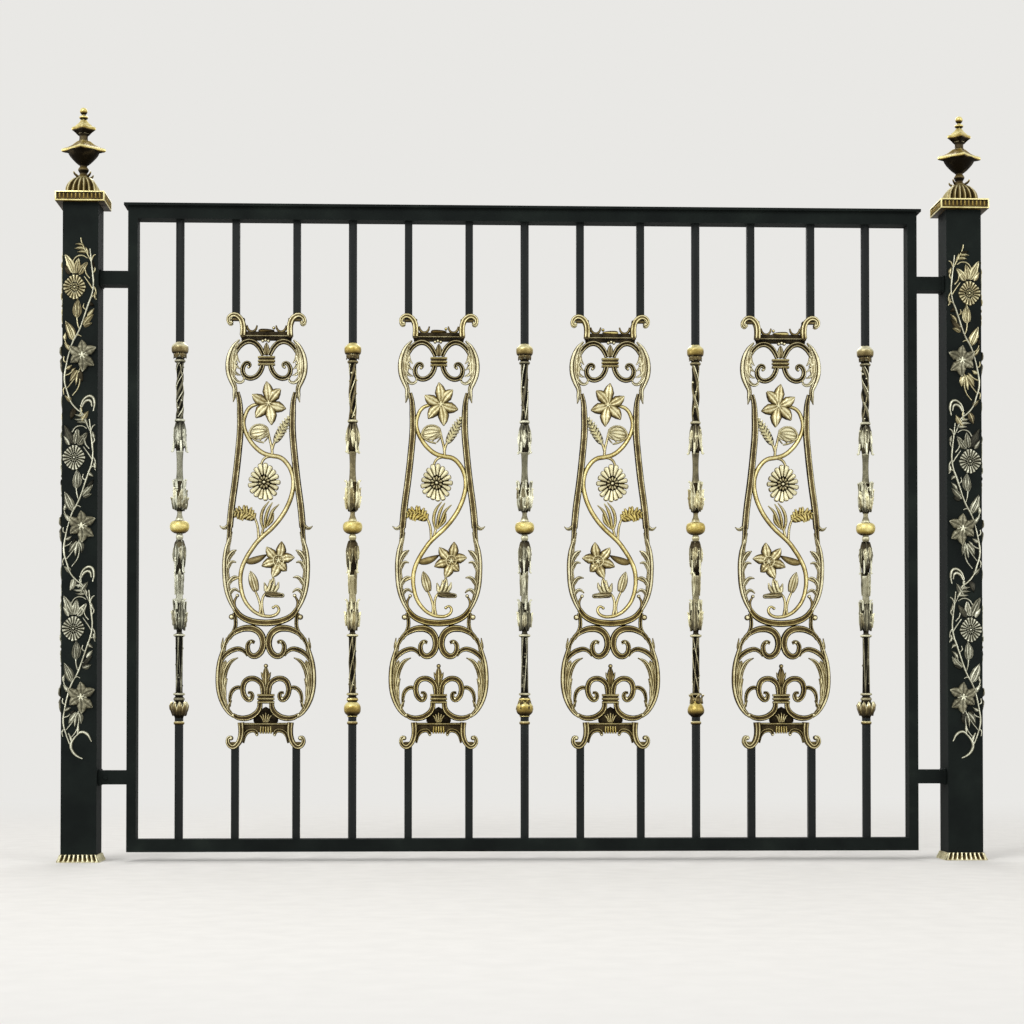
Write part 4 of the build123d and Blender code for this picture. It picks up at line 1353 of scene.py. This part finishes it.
def foot_collar(side):
    """The fluted skirt at a post's foot."""
    x, y, foot, _ = middle_of(f"{side}_post_collar")
    drawing = new_drawing()
    add_to(drawing, stacked(SKIRT, foot, 0.0, 9, 0.14, 90), 0.05, 0.3)
    finish_piece(moved(drawing, x, y), f"{side}_fluted_collar", gilding, [f"{side}_post_collar"],
                 lambda place, normal: np.full(len(place), 0.55))


for side in ("left", "right"):
    post_cap(side)
    foot_collar(side)

# %% [markdown]
# ## Vines on the posts
#
# A vine is cast flat and fixed to the front, outer and back face of each post. It repeats three
# times: a comb-petalled sunflower under a spray of leaves, a ribbed bud, side leaves, a star flower
# and a curled leaf, all on one waving stem. It is drawn on a flat face, with the window's side on
# the right, and then turned to each face of the post. Heights in the tables are over the sunflower.

# %% Vine strokes of one repeat
VINE_STEM = [
    (15, 61), (17.5, 40), (20, 18), (20.8, 6), (18, -13), (14, -24), (8, -42), (2, -60), (-3, -72),
    (-10.7, -86), (-16.4, -103), (-21.5, -125), (-24, -148), (-19, -168), (-14, -182), (-4, -194), (4, -200),
    (9, -207)]
VINE_TWIGS = [
    [(19, -2), (14, 6), (6, 17)], [(20.4, 2), (24, -4), (25, -12)], [(17.4, 42), (21, 50), (24, 52)],
    [(17, -16), (22, -14), (25, -20)], [(4, -54), (10, -52), (13, -44)], [(-13.5, -95), (-20, -92),
    (-25, -80)], [(-20, -120), (-25, -117), (-25, -110)], [(-23, -140), (-17, -138), (-12, -133)],
    [(-22, -158), (-25.5, -162), (-25, -170)], [(15, 14), (9, 22), (8, 32)], [(-8, -80), (-3, -76), (2, -78)],
    [(19.5, 22), (23, 27), (22, 34)], [(10, -36), (5, -32), (6, -26)], [(2.7, 69), (7, 60), (13, 49),
    (18, 38)], [(0.8, 78), (1.5, 73), (2.7, 69)], [(-5, -48), (-4, -58), (-1, -68)], [(-20, -58), (-17, -70),
    (-10, -85)], [(2, -126), (-4, -138), (-12, -150), (-20, -160)], [(6, -60), (11, -53), (17, -45)],
    [(-12, 40), (-6, 48), (4, 50), (11, 46)], [(-2, -205), (3, -196), (1, -188)], [(-1, -133), (0, -147),
    (-3, -160), (-12, -172)]]
# Base, tip, width and ribs of the leaves
VINE_LEAVES = [
    ((23, -8), (24, -20), 5, 1), ((22, 30), (20, 42), 5, 1), ((12, -46), (22, -34), 6, 1),
    ((-24, -84), (-22, -72), 5, 1), ((-13, -136), (-6, -128), 5, 1), ((8, 26), (3, 36), 5, 1),
    ((6, 66), (-8, 68), 5, 1), ((7, 61), (-9, 61), 5, 1), ((10, 55), (-5, 55), 5, 1),
    ((12, 52), (8, 64), 5, 1), ((-10, 22), (-24, 52), 13, 3), ((-7, 22), (-3, 46), 12, 3),
    ((-2, 20), (12, 40), 11, 3), ((-16, 20), (-25, 34), 8, 1), ((-5, -48), (-4, -19), 14, 5),
    ((5, -60), (21, -43), 9, 2), ((6, -62), (19, -57), 7, 2), ((-10, -84), (-23, -54), 13, 4),
    ((-4, -132), (-16, -150), 10, 2), ((0, -132), (4, -150), 9, 2), ((-3, -134), (-6, -156), 6, 1),
    ((3, -214), (14, -196), 9, 2), ((-16, -100), (-25, -88), 6, 1), ((14, -24), (22, -30), 6, 1),
    ((-22, -130), (-12, -124), 6, 1), ((-14, -182), (-24, -172), 7, 2), ((-8, -192), (-14, -210), 9, 2)]
CRESCENT = [
    [(1, -189), (8, -176), (18, -173), (23, -183), (21, -196)], [(3, -190), (9, -181), (16, -180),
    (19, -189)]]
STAR_TIPS = [(2.5, -84), (25, -96), (22, -124), (4, -134), (-14, -120), (-16, -94)]
FOOT_STROKES = [
    [(-1, -166), (-8, -174), (-12, -184), (-9, -194), (-2, -201), (6, -205)], [(-4, -169), (4, -163),
    (13, -166), (20, -178)], [(-16, -165), (-12, -174), (-11, -184)], [(-1, -150), (-1, -160), (-2, -168)]]
FIRST_FLOWER = 908
VINE_SPACING = 270
VINE_REPEATS = 3
NEXT_FLOWER_FROM = -180
LAST_STEM_POINTS = 15
VINE_ROUGHNESS = 0.22
STAR_DROP = 108


# %% Drawing of a vine
def flattened(part):
    """The same part with its back half pressed flat and cleared of edges, to lie on a face."""
    for vert in part.verts:
        vert.co.z = max(vert.co.z, 0)
    welded(part).normal_update()

    def hidden(item):
        return item.link_faces and all(face.normal.z < -0.99 for face in item.link_faces)

    corners, edges = ([item for item in items if hidden(item)] for items in (part.verts, part.edges))
    bmesh.ops.dissolve_limit(part, angle_limit=0.05, verts=corners, edges=edges)
    return part


def vine_greenery(drawing, level, warm, last):
    """The leaves, stem, twigs and curled leaf of one repeat."""
    def at(lines):
        return [[(x, level + z) for x, z in line] for line in lines]

    def wanted(lines):
        return [line for line in lines if not (last and line[0][1] < NEXT_FLOWER_FROM)]

    for base, tip, width, ribs in wanted(VINE_LEAVES):
        (base, tip), = at([(base, tip)])
        part = leaf(base, tip, width, ribs=ribs, rise=3.4 + width * 0.08, rim=1.1, rows=8,
                    lobes=3 if ribs == 3 else 0, columns=2 * ribs + 2, bend=random.uniform(-1.5, 1.5))
        add_to(drawing, flattened(roughened(part, VINE_ROUGHNESS)), warm, random.uniform(0.08, 0.3))
    stem = VINE_STEM[:LAST_STEM_POINTS] if last else VINE_STEM
    stem_widths = [1.1, 1.9, 1.4, 2, 1.5, 1.9, 1.4, 2, 1.5, 1.8, 1.2]
    add_to(drawing, sweep(same_widths(at([stem]), stem_widths), "laid", thick=1.2), 0.05, 0.2)
    twigs = same_widths(at(wanted(VINE_TWIGS)), [1.2, 1.4, 0.8])
    add_to(drawing, sweep(twigs, "laid", steps=3, thick=1.2), warm, 0.18)
    curled = same_widths(at(FOOT_STROKES if last else CRESCENT), [1.3, 2.5, 2.6, 1])
    add_to(drawing, sweep(curled, "laid", thick=0.8), 0.05, 0.2)


def vine_flowers(level, warm):
    """The sunflower of one repeat, and the star flower below it with a fringe round its middle."""
    flowers = new_drawing()
    star = (3.5, level - STAR_DROP)
    tips = [(x, level + z) for x, z in STAR_TIPS]
    sunflower(flowers, -8.8, level, 17.5, 19.5, 19, 3.2, warm, 0.12, steps=2)
    star_flower(flowers, *star, tips, 8, 3.4, 0.12, 0.0, heart=4.2, two_faced=False)
    fringe = ring_of_petals(*star, 9, 9, 10, (0.55, 0.8, 1), [1.2, 1.7, 1.0])
    add_to(flowers, moved(sweep(fringe, steps=2, thick=1.3), z=2.4), 0.12, 0.1)
    return flattened(flowers)


def vine_drawing():
    """The vine of one face, seen from outside, with its back on the face."""
    drawing = new_drawing()
    for number in range(VINE_REPEATS):
        level = FIRST_FLOWER - number * VINE_SPACING
        warm = 0.04 if number else 0.42
        vine_greenery(drawing, level, warm, number == VINE_REPEATS - 1)
        join(drawing, vine_flowers(level, warm))
    return drawing


# %% Vines on their faces
SUNK = 0.3
VINE_DEPTH = 4


def vine_on(side, face, turn, flip):
    """A vine stood on one face of a post, its back sunk a little into the paint."""
    x, y = middle_of(f"{side}_post")[:2]
    half = half_width(f"{side}_post")
    drawing = vine_drawing()
    if flip:
        mirrored(drawing)
    moved(turned(stood_up(drawing, y=SUNK - half), turn), x, y)
    out = Matrix.Rotation(math.radians(turn), 3, "Z") @ Vector((0, -1, 0))

    # Proud parts take more of the dry brush; parts not facing outwards get painted shade
    def proud_with_painted_side_shade(place, normal):
        away = (place[:, 0] - x) * out.x + (place[:, 1] - y) * out.y - half
        painted_light_facing_out = normal[:, 0] * out.x + normal[:, 1] * out.y
        return 0.02 + 0.5 * np.clip(away / VINE_DEPTH, 0, 1) + 0.35 * np.clip(painted_light_facing_out, 0, 1)

    finish_piece(drawing, f"{side}_vine_casting_{face}", pewter, [f"{side}_vine_{face}"], proud_with_painted_side_shade)


for side, outer_turn in (("left", -90), ("right", 90)):
    for face, turn in (("front", 0), ("outer", outer_turn), ("back", 180)):
        vine_on(side, face, turn, (side == "right") != (face == "back"))

# %% [markdown]
# ## Bracket cups and a bolt
#
# Each bracket ends in a thin pressed cup where it meets its post, which hides the weld, and one
# bolt head shows low on the left bracket. They are small, so they are only modelled here.

# %% Cups and bolt
BRACKET_LEVELS = (133, 926)
CUP_OFFSET = 1.8
BOLT_OFFSET = 12
BOLT_FRONT = 16

cups = new_drawing()
for side, outward_way in (("left", 1), ("right", -1)):
    low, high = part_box(f"{side}_brackets")
    end = (low.x if side == "left" else high.x) / MM
    for level in BRACKET_LEVELS:
        add_to(cups, stood_up(bar(-1.6, 1.6, -13, 13, 17, 1.2), end + outward_way * CUP_OFFSET, level=level))
head = bmesh.new()
bmesh.ops.create_cone(head, cap_ends=True, segments=6, radius1=3.9, radius2=3.6, depth=3.4)
soften(head, head.edges[:], 0.5)
bolt_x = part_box("left_brackets")[0].x / MM + BOLT_OFFSET
add_to(cups, stood_up(moved(head, z=BOLT_FRONT), bolt_x, level=BRACKET_LEVELS[0]), 0, 0.2)
finish_piece(cups, "bracket_cups_and_bolt", dull_enamel, [], lambda place, normal: np.full(len(place), 0.5))

# %% [markdown]
# ## Paint on the pieces from the CAD model
#
# The tubes, bars and brackets keep their CAD shape and get the black enamel in their own material
# slots. The section curves have done their work and go.

# %% Paint the frame
for name, node in nodes.items():
    coat = satin_enamel if "bars" in name else dull_enamel
    if not node.material_slots:
        node.data.materials.append(coat)
    for slot in node.material_slots:
        slot.material = coat
for holder in sections.values():
    curve = holder.data
    bpy.data.objects.remove(holder)
    bpy.data.curves.remove(curve)
print("painted", len(nodes), "nodes")

# %% [markdown]
# ## Floor, light and camera
#
# A pale floor and a pale surround keep the black ironwork readable. The floor is lit near the
# grille, where it holds the shadow, and further out it takes the surround's own colour, so no
# horizon shows. Two large soft lamps stand left and right of the camera, one behind and one at
# each end give the edges a line of light, and the world fills the shadows.

# %% Backdrop rays
BACKDROP = linear("#e9e8e5")


def seen_rays(tree):
    """1 for the rays that see the background: camera, glossy and transmission rays."""
    rays = add_node(tree, "LightPath").outputs
    seen = maths(tree, "MAXIMUM", rays["Is Camera Ray"], rays["Is Glossy Ray"])
    return maths(tree, "MAXIMUM", seen, rays["Is Transmission Ray"])


def mixed(tree, share, first, second):
    """Two shaders mixed by a share."""
    return add_node(tree, "MixShader", None, {0: share, 1: first.outputs[0], 2: second.outputs[0]}).outputs[0]


def pale_floor(middle_x):
    """Pale plaster that turns into the backdrop away from the grille."""
    material, tree, place = new_material("pale_plaster_floor")
    colour = ramp(tree, noise(tree, place, size=40, detail=4), (0.3, 0.7), ("#dcdad6", "#e2e0dc"))
    plaster = add_node(tree, "BsdfPrincipled", {"Roughness": 0.8}, {"Base Color": colour})
    glow = add_node(tree, "Emission", {"Color": BACKDROP, "Strength": 1.0})
    away = add_node(tree, "VectorMath", {"operation": "DISTANCE", 1: (middle_x, 0, 0)}, {0: place})
    far = add_node(tree, "MapRange", {1: 0.9, 2: 2.6, "interpolation_type": "SMOOTHSTEP"},
                   {0: away.outputs["Value"]})
    share = maths(tree, "MULTIPLY", far.outputs[0], seen_rays(tree))
    add_node(tree, "OutputMaterial", links={"Surface": mixed(tree, share, plaster, glow)})
    return material


# %% Floor and world
FLOOR_RADIUS = 14

disc = bmesh.new()
bmesh.ops.create_circle(disc, cap_ends=True, segments=64, radius=FLOOR_RADIUS)
floor_mesh = bpy.data.meshes.new("floor")
disc.to_mesh(floor_mesh)
disc.free()
floor_mesh.materials.append(pale_floor((cad_box[0][0] + cad_box[1][0]) / 2))
placed("floor", floor_mesh)

world = bpy.data.worlds.new("pale_surround")
scene.world = world
world.use_nodes = True
tree = world.node_tree
tree.nodes.clear()
fill_light = add_node(tree, "Background", {"Color": linear("#f2f1ef"), "Strength": 0.55})
backdrop = add_node(tree, "Background", {"Color": BACKDROP, "Strength": 1.0})
add_node(tree, "OutputWorld", None, {"Surface": mixed(tree, seen_rays(tree), fill_light, backdrop)})


# %% Lamps and camera
# Place, target, size and power of each lamp, in metres and watts
LAMPS = {
    "key_lamp": ((-1.6, -3.6, 3.4), (0.7, 0, 0.6), 2.2, 140),
    "fill_lamp": ((3.8, -3.2, 2.2), (0.7, 0, 0.5), 2.4, 50),
    "rim_lamp": ((0.7, 3.6, 3.2), (0.7, 0, 0.6), 2.4, 60),
    "left_edge_lamp": ((-2.6, -0.7, 1.0), (0.1, 0, 0.6), 1.4, 30),
    "right_edge_lamp": ((4.0, -0.7, 1.0), (1.3, 0, 0.6), 1.4, 24),
}
CAMERA_PLACE = (0.553, -3.516, 0.245)
CAMERA_TILT = 1.07
CAMERA_TURN = -2.13

for name, (place, target, size, power) in LAMPS.items():
    data = bpy.data.lights.new(name, "AREA")
    data.size = size
    data.energy = power
    lamp = placed(name, data)
    lamp.location = place
    lamp.rotation_euler = (Vector(target) - Vector(place)).to_track_quat("-Z", "Y").to_euler()

camera_data = bpy.data.cameras.new("camera")
camera_data.sensor_width = 36
camera_data.lens = 77.34
camera_data.shift_y = 0.15
camera = placed("camera", camera_data)
camera.location = CAMERA_PLACE
camera.rotation_euler = (math.radians(90 + CAMERA_TILT), 0, math.radians(CAMERA_TURN))
scene.camera = camera
scene.view_settings.view_transform = "Standard"
